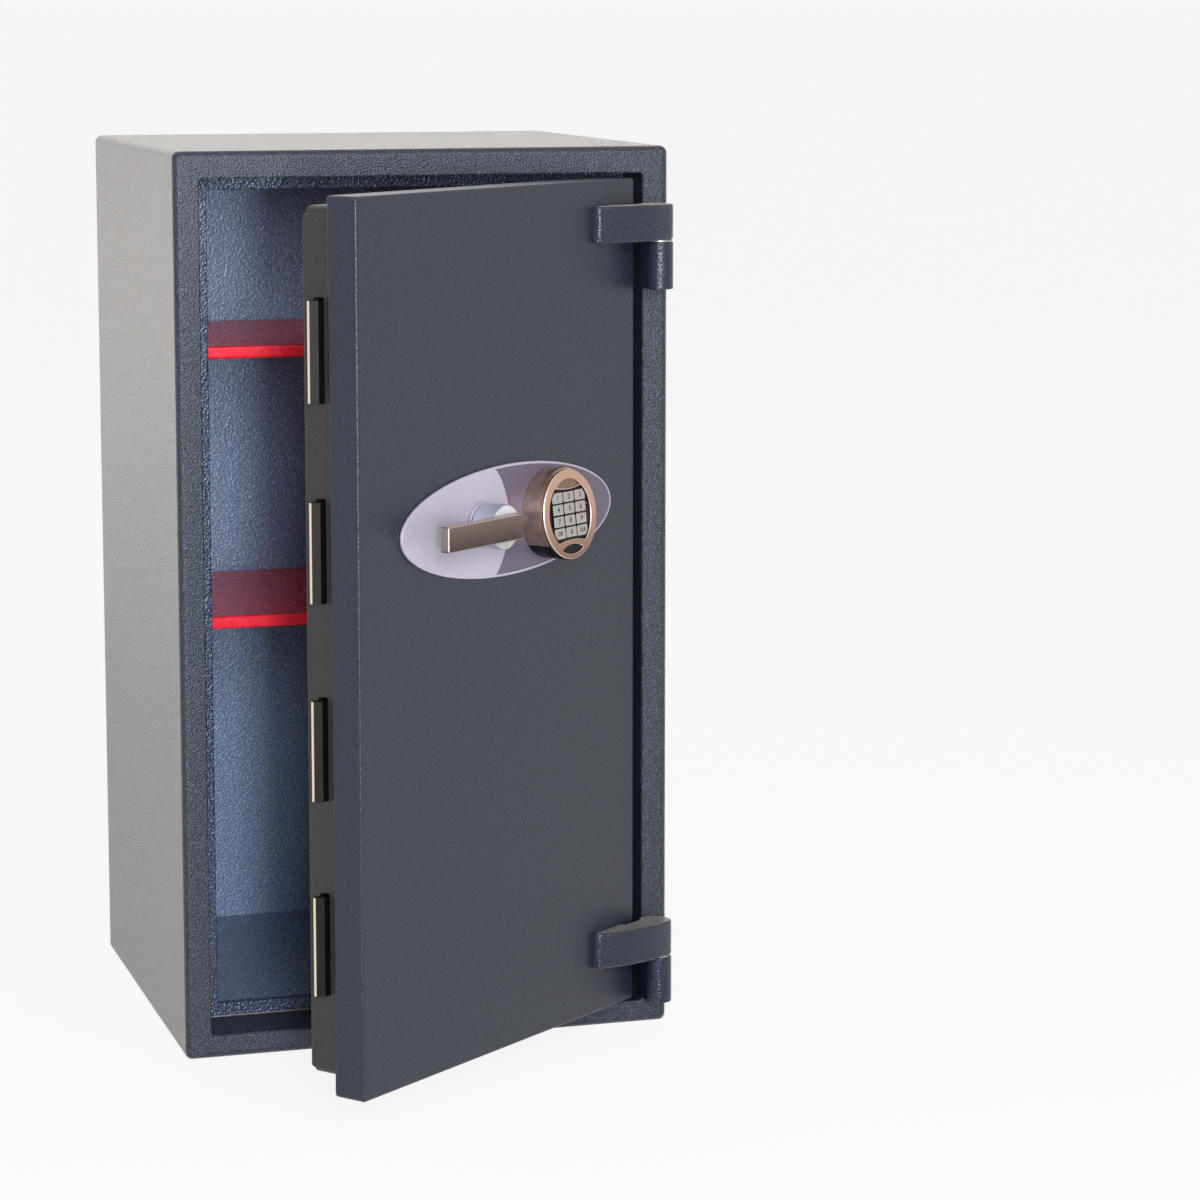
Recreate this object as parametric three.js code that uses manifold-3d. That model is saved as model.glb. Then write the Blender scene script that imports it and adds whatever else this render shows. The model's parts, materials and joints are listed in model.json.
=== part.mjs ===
// High-security safe in millimetres, +Z up.
// The origin is the middle of the case's underside and the case faces -Y.
// The door is drawn closed in its own group, and the group stands open by its rest angle.

import * as THREE from 'three';
import { mergeVertices } from 'three/addons/utils/BufferGeometryUtils.js';
import Module from 'manifold-3d';

const wasm = await Module();
wasm.setup();

// Clearances
const seat = 0.3; // between pieces that touch
const running = 0.3; // round a pin, and beside anything that slides
const doorGapFree = 3.5; // door edge to doorway, free side
const doorGapHinge = 3;
const doorGapTop = 4;
const doorGapBottom = 7.5;
const boltSlotSide = 0.6;
const boltSlotOver = 2.4; // the slots are taller than the bolts
const over = 5; // how far a cutting shape runs past what it cuts
const fused = 1; // how far shapes that are one piece run into each other

// Case
const caseWidth = 490;
const caseDepth = 450;
const caseHeight = 880;
const caseEdgeRadius = 7;
const caseSheet = 3;
const freeStile = 25; // case front beside the doorway, free side
const hingeStile = 26;
const header = 26;
const sill = 22.5;
const doorwayCorner = 3;
const doorwayLip = 1.5; // rounding of the doorway's front edge

// Rebate, where the closed door sits
const rebateDepth = 67;
const rebateWall = 6;
const rebateSetback = 0.5; // the rebate's wall lies this far outside the doorway's edge

// Interior
const wallFree = 44.5; // case outside to compartment, free side
const wallHinge = 45.5;
const wallFloor = 36;
const wallRoof = 40;
const wallBack = 40;
const interiorCorner = 3;
const linerSheet = 2;
const flangeSheet = 2.6;
const flangeEdge = 1.1;
const flangeGap = 1; // flange to rebate wall

// Anchor hole in the floor
const anchorRadius = 8;
const anchorFromBack = 130;
const plugHeadRadius = 13;
const plugHead = 2.5;
const plugEdge = 0.9;
const plugStem = 24;

// Shelves and their rails
const lowerShelfRise = 379; // compartment floor to the shelf's top
const upperShelfDrop = 156; // compartment roof to the shelf's top
const shelfSheet = 1.6;
const shelfFold = 12.5; // height of the rolled front edge
const shelfFoldRadius = 3;
const shelfFoldReturn = 9;
const shelfSetback = 51; // from the flange to the shelf's front
const shelfSideGap = 2.5;
const shelfRearGap = 3;
const railLeg = 16;
const railSheet = 2;
const railSetback = 14; // from the shelf's front to the rail's
const railRearGap = 12;

// Hinges
const pinFromSide = 15.5; // pin axis in from the case's hinge side
const pinStandoff = 21; // pin axis out from the case front
const pinRadius = 6;
const pinEdge = 0.8;
const barrelRadius = 13;
const knuckleHeight = 46;
const knuckleEdge = 1;
const knuckleFloor = 6;
const lowerStrapRise = 76; // case underside to the strap's lower face
const upperStrapDrop = 90; // case top to the strap's lower face
const strapHeight = 35;
const strapRoof = 6; // metal above the pin's end
const strapReach = 85.5; // from the pin to the strap's tip
const strapTip = 6; // height of the blunt tip above the door's face
const strapHeel = 19; // from the pin back towards the case
const strapHeelSide = 6.5; // from the pin to the side of the heel
const strapNeck = 9.75; // from the pin to where the heel's side ends
const strapBridge = 5.5; // how far the strap stands off where it bridges the door's edge
const strapSeatStart = 35; // from the pin to where the strap comes down to the door
const strapRamp = 2; // length of the slope down to the door
const strapEdge = 2.2;
const washerSheet = 1.6;
const washerInset = 1; // smaller than the barrel

// Door slab
const openAngle = 38; // degrees, the door as it stands at rest
const doorThickness = 34;
const doorEdge = 2.6; // rounding of the slab's edges
const doorCorner = 4;
const doorSkin = 4;
const doorPanCorner = 1; // inside corner of the folded pan
const doorBackPlate = 5;

// Bolt box behind the slab
const boxDepth = 28;
const boxSheet = 2.5;
const boxBottomInset = 16; // from the slab's ends
const boxTopInset = 10;
const boxFreeInset = 9; // from the slab's free edge
const boxHingeInset = 9;
const boxCorner = 8;
const boxFlange = 16; // inward flange that carries the rear cover
const boxFlangeCorner = 3;
const guideSheet = 4.2; // the channel on the free edge that guides the bolts
const guideCorner = 3.5;
const guideEdge = 1.2;
const guideEndInset = 6.5; // shorter than the box at each end
const coverSheet = 2;
const coverEdge = 0.6;
const screwInset = 11; // from the sides of the bolt box
const screwHeadRadius = 4.6;
const screwHead = 1.8; // depth of the head's cone
const screwSunk = 0.1; // head below the cover's face
const screwRadius = 2.4;
const screwLength = 9;
const screwSocket = 1.6; // the hexagon's middle to its corner
const screwSides = 16;

// Bolts and the carriage that throws them
const boltCount = 4;
const boltLength = 92;
const boltFromBottom = 123.5; // end of the bolt box to the lowest bolt's middle
const boltFromTop = 129;
const boltSheet = 10;
const boltBehindSlab = 7.5;
const boltThrow = 12; // how far the bolts stand out of the guide at rest
const boltTail = 44; // how far they reach in behind the guide's face
const boltBevel = 2.4;
const boltTipEdge = 1;
const carriageSheet = 5;
const carriageWidth = 30;
const carriageCorner = 5;
const carriageInset = 17; // from the guide's face
const carriageOverrun = 14; // short of the outer bolts' ends
const studNeck = 4;
const studShoulder = 6.5;
const studHead = 1.8;
const dogLength = 60;
const dogReach = 4.5; // into the rebate wall
const dogCorner = 2;
const dogStrip = 3;
const dogStripMargin = 2; // wider than the dogs, each side
const dogStripCorner = 3;
const dogSlotSide = 1.6;

// Handle
const fittingsHeight = 539; // handle, keypad and escutcheon share it
const handleFromEdge = 178.5; // from the door's free edge
const roseRadius = 22.2;
const roseHeight = 2.2;
const roseEdge = 0.8;
const hubRadius = 21;
const hubHeight = 25.3;
const hubEdge = 1.6;
const hubWeb = 4; // metal between the lever and the spindle's end
const leverCorner = 2;
const leverLength = 113;
const leverWidth = 23.6;
const leverSheet = 10;
const leverOverhang = 14.5; // past the pivot on the keypad's side
const leverSink = 1.8; // into the hub's face
const leverEdge = 1.3;
const spindleSide = 8;
const spindleHole = 7;
const cableHole = 5; // for the keypad's cable

// Pinion and rack
const toothModule = 1.5;
const pinionTeeth = 12;
const rackTeeth = 8;
const rackTip = 1; // rack tooth above its pitch line
const pinionTip = 1.2;
const toothRootGap = 0.35;
const toothBacklash = 0.3;
const pressureAngle = 20; // degrees
const rackHeight = 13;

// Lock behind the keypad
const lockFromHandle = 80; // the lock bolt's pivot from the handle's
const lockPivotRise = 1; // above the middle of the rack bar's height
const lockWidth = 62;
const lockHeight = 84;
const lockDepth = 25.5;
const lockCorner = 3;
const lockAbovePivot = 21; // top of the lock case over the pivot
const lockBoltReach = 22; // from the lock bolt's pivot to its nose
const lockBoltSide = 6; // half its width
const lockBoltSheet = 8;
const lockPivotRadius = 3.2;
const lockBoltGap = 3.9; // nose to rack
const lockPivotInset = 6; // from the lock case's side
const lockBoltRoom = 1.5; // under the lock bolt's nose when it hangs down
const lockPocketMargin = 3; // round the pivot's end of the lock bolt

// Escutcheon
const escutcheonFromEdge = 223;
const escutcheonWidth = 330;
const escutcheonHeight = 105;
const escutcheonSheet = 3;
const escutcheonEdge = 0.8;
const escutcheonRim = 2.3;
const inlaySheet = 0.8;
const inlayArcRadius = 70.5;
const inlayArcFromEdge = 150;

// Keypad
const keypadFromEdge = 284;
const housingRadius = 43.6;
const housingHeight = 21; // at its middle, because its face slopes
const housingWall = 3;
const faceTilt = 6; // degrees, looks up a little
const faceRadius = 42.6;
const faceSheet = 4;
const faceEdge = 1.6;
const windowRadius = 33.5;
const windowHalfHeight = 26; // at the window's corners
const windowDip = 2.2; // how far its top and bottom bulge in
const recessRise = 34; // top of the thumb recess
const recessHalfWidth = 18;
const recessDeep = 1.2;
const lensHalfWidth = 17;
const lensMiddle = -33;
const lensHalfHeight = 4.6;
const lensBelow = 1; // lens below the face's front
const lensEdge = 0.4;
const matBehind = 2.4; // mat below the face
const matSheet = 4;
const matInset = 1.4; // inside the housing, because the sloping mat sits off its middle
const batteryChord = 27.5; // below the housing's middle
const batteryRoof = 2.5;
const matOverRoof = 2; // the mat's plate ends this far above the battery's roof
const drawerInset = 0.2; // smaller than the housing
const gripHalfWidth = 10;
const gripFromPlate = 12; // the finger groove under the drawer
const gripWidth = 4;
const gripDeep = 1;
const keyWidth = 15.6;
const keyHeight = 9.8;
const keyPitchX = 18;
const keyPitchZ = 11.3;
const keyRise = 0.3; // keys below the face's front
const keyCap = 1.3;
const keyTravel = 0.7;
const keyCorner = 1;
const keyEdge = 0.4;
const keyWindowGap = 1.6;
const stemSide = 5;

// Places that follow from the sizes
const left = -caseWidth / 2;
const right = caseWidth / 2;
const front = -caseDepth / 2;
const back = caseDepth / 2;
const doorway = { x0: left + freeStile, z0: sill, x1: right - hingeStile, z1: caseHeight - header };
const rebate = grown(doorway, rebateSetback);
const flangeFront = front + rebateDepth;
const flangeBack = flangeFront + flangeSheet;
const interior = {
  x0: left + wallFree,
  z0: wallFloor,
  x1: right - wallHinge,
  z1: caseHeight - wallRoof,
};
const interiorBack = back - wallBack;
const shelves = [
  { name: 'lower', top: interior.z0 + lowerShelfRise },
  { name: 'upper', top: interior.z1 - upperShelfDrop },
];
const hinges = [
  { name: 'lower', strapBottom: lowerStrapRise },
  { name: 'upper', strapBottom: caseHeight - upperStrapDrop },
];
const pinX = right - pinFromSide;
const pinY = front - pinStandoff;
const slab = {
  x0: doorway.x0 + doorGapFree,
  z0: doorway.z0 + doorGapBottom,
  x1: doorway.x1 - doorGapHinge,
  z1: doorway.z1 - doorGapTop,
};
const slabBack = front + doorThickness;
const boltBox = {
  x0: slab.x0 + boxFreeInset,
  z0: slab.z0 + boxBottomInset,
  x1: slab.x1 - boxHingeInset,
  z1: slab.z1 - boxTopInset,
};
const boxFront = slabBack + seat;
const boxBack = boxFront + boxDepth;
const guideFace = boltBox.x0 - seat - guideSheet;
const boltY0 = slabBack + boltBehindSlab;
const boltY1 = boltY0 + boltSheet;
const boltTipX = guideFace - boltThrow;
const carriageY0 = boltY1 + seat;
const carriageY1 = carriageY0 + carriageSheet;
const carriageX0 = guideFace + carriageInset;
const carriageX1 = carriageX0 + carriageWidth;
const boltFirst = boltBox.z0 + boltFromBottom;
const boltPitch = (boltBox.z1 - boltFromTop - boltFirst) / (boltCount - 1);
const boltMiddles = Array.from({ length: boltCount }, (_, i) => boltFirst + i * boltPitch);
const handleX = slab.x0 + handleFromEdge;
const escutcheonX = slab.x0 + escutcheonFromEdge;
const keypadX = slab.x0 + keypadFromEdge;
const plateBack = front - seat;
const plateFront = plateBack - escutcheonSheet;
const roseBack = plateFront - seat;
const roseFront = roseBack - roseHeight;
const hubBack = roseFront - seat;
const hubFront = hubBack - hubHeight;
const pitchRadius = (toothModule * pinionTeeth) / 2;
const boltTravel = (pitchRadius * Math.PI) / 2; // a quarter turn of the handle
const rackPitchZ = fittingsHeight + pitchRadius;
const studX = (carriageX0 + carriageX1 + boltTravel) / 2;
const studHeights = boltMiddles.slice(1).map((middle) => middle - boltPitch / 2);
const lockPivotX = handleX + lockFromHandle;
const lockPivotZ = rackPitchZ + rackHeight / 2 + lockPivotRise;
const rackEndX = lockPivotX - lockBoltReach - lockBoltGap;

// Finishes
const graphitePaint = { color: 0x4b4c55, roughness: 0.5, metalness: 0.1 };
const darkPaint = { color: 0x2e3036, roughness: 0.45, metalness: 0.1 };
const linerPaint = { color: 0x4a5163, roughness: 0.5, metalness: 0.1 };
const redPaint = { color: 0xc81420, roughness: 0.35, metalness: 0 };
const concrete = { color: 0x8e8c86, roughness: 0.95, metalness: 0 };
const zincSteel = { color: 0xa9aaa8, roughness: 0.35, metalness: 1 };
const blackSteel = { color: 0x26241f, roughness: 0.5, metalness: 0.8 };
const silverPlate = { color: 0xb7b0bc, roughness: 0.4, metalness: 0.7 };
const darkInlay = { color: 0x5c5568, roughness: 0.4, metalness: 0.5 };
const brushedSteel = { color: 0x9a8583, roughness: 0.35, metalness: 1 };
const satinChrome = { color: 0xb9b6b8, roughness: 0.3, metalness: 1 };
const champagneMetal = { color: 0xa88d81, roughness: 0.32, metalness: 1 };
const blackPlastic = { color: 0x17120f, roughness: 0.4, metalness: 0 };
const keyPlastic = { color: 0xbeb4aa, roughness: 0.45, metalness: 0 };

// Solids
function toSolid(geometry) {
  const bare = geometry.index ? geometry.toNonIndexed() : geometry.clone();
  bare.deleteAttribute('normal');
  bare.deleteAttribute('uv');
  const merged = mergeVertices(bare, 1e-4);
  const vertProperties = new Float32Array(merged.getAttribute('position').array);
  const triVerts = new Uint32Array(merged.index.array);
  return new wasm.Manifold(new wasm.Mesh({ numProp: 3, vertProperties, triVerts }));
}

function toGeometry(solid) {
  const made = solid.getMesh();
  const geometry = new THREE.BufferGeometry();
  geometry.setAttribute('position', new THREE.BufferAttribute(made.vertProperties, made.numProp));
  geometry.setIndex(new THREE.BufferAttribute(made.triVerts, 1));
  geometry.computeVertexNormals();
  return geometry;
}

function piece(name, solid, finish) {
  const mesh = new THREE.Mesh(toGeometry(solid), new THREE.MeshStandardMaterial(finish));
  mesh.name = name;
  return mesh;
}

function minus(solid, ...cuts) {
  return cuts.reduce((rest, cut) => rest.subtract(cut), solid);
}

function plus(...solids) {
  return solids.reduce((all, one) => all.add(one));
}

function box(x0, y0, z0, x1, y1, z1) {
  const geometry = new THREE.BoxGeometry(x1 - x0, y1 - y0, z1 - z0);
  return toSolid(geometry.translate((x0 + x1) / 2, (y0 + y1) / 2, (z0 + z1) / 2));
}

function grown(area, by) {
  return { x0: area.x0 - by, z0: area.z0 - by, x1: area.x1 + by, z1: area.z1 + by };
}

// Outlines are drawn flat: (x, z) for a front view, (y, z) for a side view, (x, y) for a plan.
function roundedOutline(x0, y0, x1, y1, radius) {
  const outline = new THREE.Shape();
  outline.moveTo(x0 + radius, y0);
  outline.absarc(x1 - radius, y0 + radius, radius, -Math.PI / 2, 0);
  outline.absarc(x1 - radius, y1 - radius, radius, 0, Math.PI / 2);
  outline.absarc(x0 + radius, y1 - radius, radius, Math.PI / 2, Math.PI);
  outline.absarc(x0 + radius, y0 + radius, radius, Math.PI, Math.PI * 1.5);
  return outline;
}

function areaOutline(area, radius) {
  return roundedOutline(area.x0, area.z0, area.x1, area.z1, radius);
}

function circleOutline(x, y, radius) {
  return new THREE.Shape().absarc(x, y, radius, 0, Math.PI * 2);
}

function polygonOutline(points) {
  return new THREE.Shape(points.map(([x, y]) => new THREE.Vector2(x, y)));
}

function extruded(outline, length, edge, curve) {
  return new THREE.ExtrudeGeometry(outline, {
    depth: length - 2 * edge,
    bevelEnabled: edge > 0,
    bevelThickness: edge,
    bevelSize: edge,
    bevelOffset: -edge,
    bevelSegments: 2,
    curveSegments: curve,
  }).translate(0, 0, edge);
}

const axisX = new THREE.Vector3(1, 0, 0);
const axisY = new THREE.Vector3(0, 1, 0);
const axisZ = new THREE.Vector3(0, 0, 1);
const frontView = new THREE.Matrix4().makeBasis(axisX, axisZ, axisY.clone().negate());
const sideView = new THREE.Matrix4().makeBasis(axisY, axisZ, axisX);

function frontSolid(outline, y0, y1, edge = 0, curve = 2) {
  const geometry = extruded(outline, y1 - y0, edge, curve);
  return toSolid(geometry.applyMatrix4(frontView).translate(0, y1, 0));
}

function sideSolid(outline, x0, x1, edge = 0, curve = 2) {
  const geometry = extruded(outline, x1 - x0, edge, curve);
  return toSolid(geometry.applyMatrix4(sideView).translate(x0, 0, 0));
}

function planSolid(outline, z0, z1, edge = 0, curve = 2) {
  return toSolid(extruded(outline, z1 - z0, edge, curve).translate(0, 0, z0));
}

function roundBar(x, z, y0, y1, radius, curve = 12) {
  return frontSolid(circleOutline(x, z, radius), y0, y1, 0, curve);
}

function uprightBar(x, y, z0, z1, radius, curve = 12) {
  return planSolid(circleOutline(x, y, radius), z0, z1, 0, curve);
}

// A block whose twelve edges are rounded, as the overlap of three rounded bars.
function roundedBlock(x0, y0, z0, x1, y1, z1, radius) {
  const upright = planSolid(roundedOutline(x0, y0, x1, y1, radius), z0, z1);
  const across = sideSolid(roundedOutline(y0, z0, y1, z1, radius), x0, x1);
  const through = frontSolid(roundedOutline(x0, z0, x1, z1, radius), y0, y1);
  return upright.intersect(across).intersect(through);
}

// A turned piece on an axis along Y, from points of radius and distance in front of `y`.
function turnedFront(x, y, z, profile, segments) {
  const points = profile.map(([radius, ahead]) => new THREE.Vector2(radius, ahead));
  const geometry = new THREE.LatheGeometry(points, segments);
  return toSolid(geometry.rotateX(Math.PI).translate(x, y, z));
}

// A closed skin through rings of points, each ring with as many points as the next.
function lofted(rings) {
  const count = rings[0].length;
  const positions = rings.flat().flatMap((point) => point.toArray());
  const index = [];
  for (let ring = 0; ring + 1 < rings.length; ring++) {
    for (let i = 0; i < count; i++) {
      const a = ring * count + i;
      const b = ring * count + ((i + 1) % count);
      index.push(a, b + count, b, a, a + count, b + count);
    }
  }
  const last = (rings.length - 1) * count;
  for (let i = 1; i + 1 < count; i++) {
    index.push(0, i, i + 1, last, last + i + 1, last + i);
  }
  const geometry = new THREE.BufferGeometry();
  geometry.setAttribute('position', new THREE.Float32BufferAttribute(positions, 3));
  geometry.setIndex(index);
  return toSolid(geometry);
}

function areaRing(area, radius, y) {
  const points = areaOutline(area, radius).extractPoints(2).shape;
  return points.map((point) => new THREE.Vector3(point.x, y, point.y));
}

// The cutting shape of an opening whose front edge is rounded outwards.
function flaredOpening(area, corner, y0, y1, lip) {
  const rings = [areaRing(grown(area, lip), corner + lip, y0 - over)];
  const steps = 4;
  for (let i = 0; i <= steps; i++) {
    const turn = (Math.PI / 2) * (i / steps);
    const wider = lip * (1 - Math.sin(turn));
    rings.push(areaRing(grown(area, wider), corner + wider, y0 + lip * (1 - Math.cos(turn))));
  }
  rings.push(areaRing(area, corner, y1 + over));
  return lofted(rings);
}

// Case
function outerCasing() {
  const outer = roundedBlock(left, front, 0, right, back, caseHeight, caseEdgeRadius);
  const inside = box(
    left + caseSheet, front + caseSheet, caseSheet,
    right - caseSheet, back - caseSheet, caseHeight - caseSheet,
  );
  const opening = flaredOpening(doorway, doorwayCorner, front, front + caseSheet, doorwayLip);
  return minus(outer, inside, opening, anchorHole());
}

function anchorHole() {
  return uprightBar(0, back - anchorFromBack, -over, interior.z0 + over, anchorRadius);
}

function slotBox(x0, x1, middle, length, side, above) {
  const z0 = middle - length / 2 - side;
  return box(x0, boltY0 - side, z0, x1, boltY1 + side, middle + length / 2 + above);
}

function rebateFrame() {
  const outer = frontSolid(
    areaOutline(grown(rebate, rebateWall), doorwayCorner + rebateWall),
    front + caseSheet + seat, flangeBack,
  );
  const inner = frontSolid(areaOutline(rebate, doorwayCorner), front, flangeBack + over);
  const boltSlots = boltMiddles.map((middle) => slotBox(
    rebate.x0 - rebateWall - over, rebate.x0 + over,
    middle, boltLength, boltSlotSide + running, boltSlotOver,
  ));
  const dogSlots = boltMiddles.map((middle) => slotBox(
    rebate.x1 - over, rebate.x1 + rebateWall + over,
    middle, dogLength, dogSlotSide, dogSlotSide,
  ));
  return minus(outer, inner, ...boltSlots, ...dogSlots);
}

function innerLiner() {
  const flangeOutline = areaOutline(grown(doorway, -flangeGap), doorwayCorner);
  flangeOutline.holes.push(areaOutline(interior, interiorCorner));
  const flange = frontSolid(flangeOutline, flangeFront, flangeBack, flangeEdge);
  const shell = minus(
    frontSolid(
      areaOutline(grown(interior, linerSheet), interiorCorner + linerSheet),
      flangeBack - flangeEdge, interiorBack + linerSheet,
    ),
    frontSolid(areaOutline(interior, interiorCorner), flangeFront, interiorBack),
  );
  return minus(plus(flange, shell), anchorHole());
}

function barrierFill() {
  const y0 = flangeBack + seat;
  const gap = caseSheet + seat;
  const fill = box(left + gap, y0, gap, right - gap, back - gap, caseHeight - gap);
  const liner = grown(interior, linerSheet + seat);
  const pocket = frontSolid(
    areaOutline(liner, interiorCorner + linerSheet), y0 - over, interiorBack + linerSheet + seat,
  );
  return minus(fill, pocket, anchorHole());
}

function anchorPlug() {
  const floor = interior.z0 + seat;
  const y = back - anchorFromBack;
  const disc = circleOutline(0, y, plugHeadRadius);
  const head = planSolid(disc, floor, floor + plugHead, plugEdge, 8);
  const stem = uprightBar(0, y, floor - plugStem, floor + plugHead / 2, anchorRadius - running);
  return plus(head, stem);
}

// Folded from one sheet: the front edge turns down and back under, the rear turns down.
function shelf(top) {
  const y0 = flangeFront + shelfSetback;
  const y1 = interiorBack - shelfRearGap;
  const bottom = top - shelfFold;
  const inner = shelfFoldRadius - shelfSheet;
  const fold = new THREE.Shape();
  fold.moveTo(y1, top);
  fold.lineTo(y0 + shelfFoldRadius, top);
  fold.absarc(y0 + shelfFoldRadius, top - shelfFoldRadius, shelfFoldRadius, Math.PI / 2, Math.PI);
  fold.absarc(
    y0 + shelfFoldRadius, bottom + shelfFoldRadius, shelfFoldRadius, Math.PI, Math.PI * 1.5,
  );
  fold.lineTo(y0 + shelfFoldReturn, bottom);
  fold.lineTo(y0 + shelfFoldReturn, bottom + shelfSheet);
  fold.lineTo(y0 + shelfFoldRadius, bottom + shelfSheet);
  fold.absarc(
    y0 + shelfFoldRadius, bottom + shelfFoldRadius, inner, Math.PI * 1.5, Math.PI, true,
  );
  fold.absarc(y0 + shelfFoldRadius, top - shelfFoldRadius, inner, Math.PI, Math.PI / 2, true);
  fold.lineTo(y1 - shelfSheet, top - shelfSheet);
  fold.lineTo(y1 - shelfSheet, bottom);
  fold.lineTo(y1, bottom);
  return sideSolid(fold, interior.x0 + shelfSideGap, interior.x1 - shelfSideGap);
}

// An angle rail on a liner wall: `side` is -1 on the free side and 1 on the hinge side.
function shelfRail(top, side) {
  const wall = side < 0 ? interior.x0 + seat : interior.x1 - seat;
  const under = top - shelfSheet - seat;
  const outline = polygonOutline([
    [wall, under],
    [wall, under - railLeg],
    [wall - side * railSheet, under - railLeg],
    [wall - side * railSheet, under - railSheet],
    [wall - side * railLeg, under - railSheet],
    [wall - side * railLeg, under],
  ]);
  const y0 = flangeFront + shelfSetback + railSetback;
  return frontSolid(outline, y0, interiorBack - railRearGap);
}

// Hinge knuckle: a round barrel with a straight back that is welded to the case front.
function hingeKnuckle(strapBottom) {
  const z1 = strapBottom - 2 * seat - washerSheet;
  const z0 = z1 - knuckleHeight;
  const outline = new THREE.Shape();
  outline.moveTo(pinX + barrelRadius, front - seat);
  outline.lineTo(pinX - barrelRadius, front - seat);
  outline.absarc(pinX, pinY, barrelRadius, Math.PI, Math.PI * 2);
  const bore = uprightBar(pinX, pinY, z0 + knuckleFloor, z1 + over, pinRadius + running);
  return minus(planSolid(outline, z0, z1, knuckleEdge, 5), bore);
}

function hingePin(strapBottom) {
  const z0 = strapBottom - 2 * seat - washerSheet - knuckleHeight + knuckleFloor + seat;
  const z1 = strapBottom + strapHeight - strapRoof - seat;
  return planSolid(circleOutline(pinX, pinY, pinRadius), z0, z1, pinEdge, 6);
}

function thrustWasher(strapBottom) {
  const z1 = strapBottom - seat;
  const outline = circleOutline(pinX, pinY, barrelRadius - washerInset);
  outline.holes.push(circleOutline(pinX, pinY, pinRadius + running));
  return planSolid(outline, z1 - washerSheet, z1, 0, 8);
}

// Door, drawn closed
function hingeStrap(strapBottom) {
  const face = front - seat;
  const drop = pinStandoff + barrelRadius - strapTip;
  const bow = (strapReach ** 2 + drop ** 2) / (2 * drop);
  const bowY = pinY - barrelRadius + bow;
  const tipX = pinX - strapReach;
  const tipTurn = Math.atan2(front - strapTip - bowY, tipX - pinX);
  const outline = new THREE.Shape();
  outline.moveTo(tipX, face);
  outline.absarc(pinX, bowY, bow, tipTurn, -Math.PI / 2);
  outline.absarc(pinX, pinY, barrelRadius, -Math.PI / 2, 0);
  outline.absellipse(pinX, pinY, barrelRadius, strapHeel, 0, Math.PI / 2);
  outline.lineTo(pinX - strapHeelSide, pinY + strapHeel);
  outline.lineTo(pinX - strapNeck, front - strapBridge);
  outline.lineTo(pinX - strapSeatStart, front - strapBridge);
  outline.lineTo(pinX - strapSeatStart - strapRamp, face);
  const body = planSolid(outline, strapBottom, strapBottom + strapHeight, strapEdge, 5);
  const boreTop = strapBottom + strapHeight - strapRoof;
  return minus(body, uprightBar(pinX, pinY, strapBottom - over, boreTop, pinRadius + running));
}

function slabHoles(y0, y1) {
  return [
    roundBar(handleX, fittingsHeight, y0, y1, spindleHole),
    roundBar(keypadX, fittingsHeight, y0, y1, cableHole, 6),
  ];
}

function panInside() {
  return areaOutline(grown(slab, -doorSkin - seat), doorPanCorner);
}

function doorSkinPan() {
  const outer = frontSolid(areaOutline(slab, doorCorner), front, slabBack, doorEdge);
  const inside = areaOutline(grown(slab, -doorSkin), doorPanCorner);
  const pocket = frontSolid(inside, front + doorSkin, slabBack + over);
  return minus(outer, pocket, ...slabHoles(front - over, slabBack));
}

function doorFill() {
  const body = frontSolid(panInside(), front + doorSkin + seat, slabBack - doorBackPlate - seat);
  return minus(body, ...slabHoles(front, slabBack));
}

// The studs stand between the bolts. Each has a shoulder under the carriage and a head over it.
function doorBackPlateSolid() {
  const y0 = slabBack - doorBackPlate;
  const body = frontSolid(panInside(), y0, slabBack);
  const foot = slabBack - fused;
  const profile = [
    [0, foot], [studShoulder, foot], [studShoulder, carriageY0 - seat],
    [studNeck, carriageY0 - seat], [studNeck, carriageY1 + seat], [studShoulder, carriageY1 + seat],
    [studShoulder, carriageY1 + seat + studHead], [0, carriageY1 + seat + studHead],
  ].map(([radius, y]) => [radius, -y]).reverse();
  const studs = studHeights.map((z) => turnedFront(studX, 0, z, profile, 12));
  return minus(plus(body, ...studs), ...slabHoles(y0 - over, slabBack + over));
}

function boltBoxSolid() {
  const inner = grown(boltBox, -boxSheet);
  const opening = areaOutline(grown(inner, -boxFlange), boxFlangeCorner);
  const screwHoles = screwPlaces().map(([x, z]) => roundBar(
    x, z, boxBack - over, boxBack + over, screwRadius + running, 6,
  ));
  const ring = minus(
    frontSolid(areaOutline(boltBox, boxCorner), boxFront, boxBack),
    frontSolid(areaOutline(inner, boxCorner - boxSheet), boxFront - over, boxBack - boxSheet),
    frontSolid(opening, boxFront, boxBack + over),
    ...screwHoles,
  );
  const slots = boltMiddles.map((middle) => slotBox(
    boltBox.x0 - over, inner.x0 + over, middle, boltLength, boltSlotSide, boltSlotOver,
  ));
  return minus(ring, ...slots);
}

// The channel along the free edge: a rounded bar as deep as the box, with a slot for each bolt.
function boltGuide() {
  const z0 = boltBox.z0 + guideEndInset;
  const z1 = boltBox.z1 - guideEndInset;
  const bar = sideSolid(
    roundedOutline(boxFront, z0, boxBack + coverSheet + seat, z1, guideCorner),
    guideFace, guideFace + guideSheet, guideEdge,
  );
  const slots = boltMiddles.map((middle) => slotBox(
    guideFace - over, guideFace + guideSheet + over, middle, boltLength, boltSlotSide, boltSlotOver,
  ));
  return minus(bar, ...slots);
}

function screwPlaces() {
  const xs = [boltBox.x0 + screwInset, boltBox.x1 - screwInset];
  const zs = [boltBox.z0 + screwInset, boltBox.z1 - screwInset];
  return xs.flatMap((x) => zs.map((z) => [x, z]));
}

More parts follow.
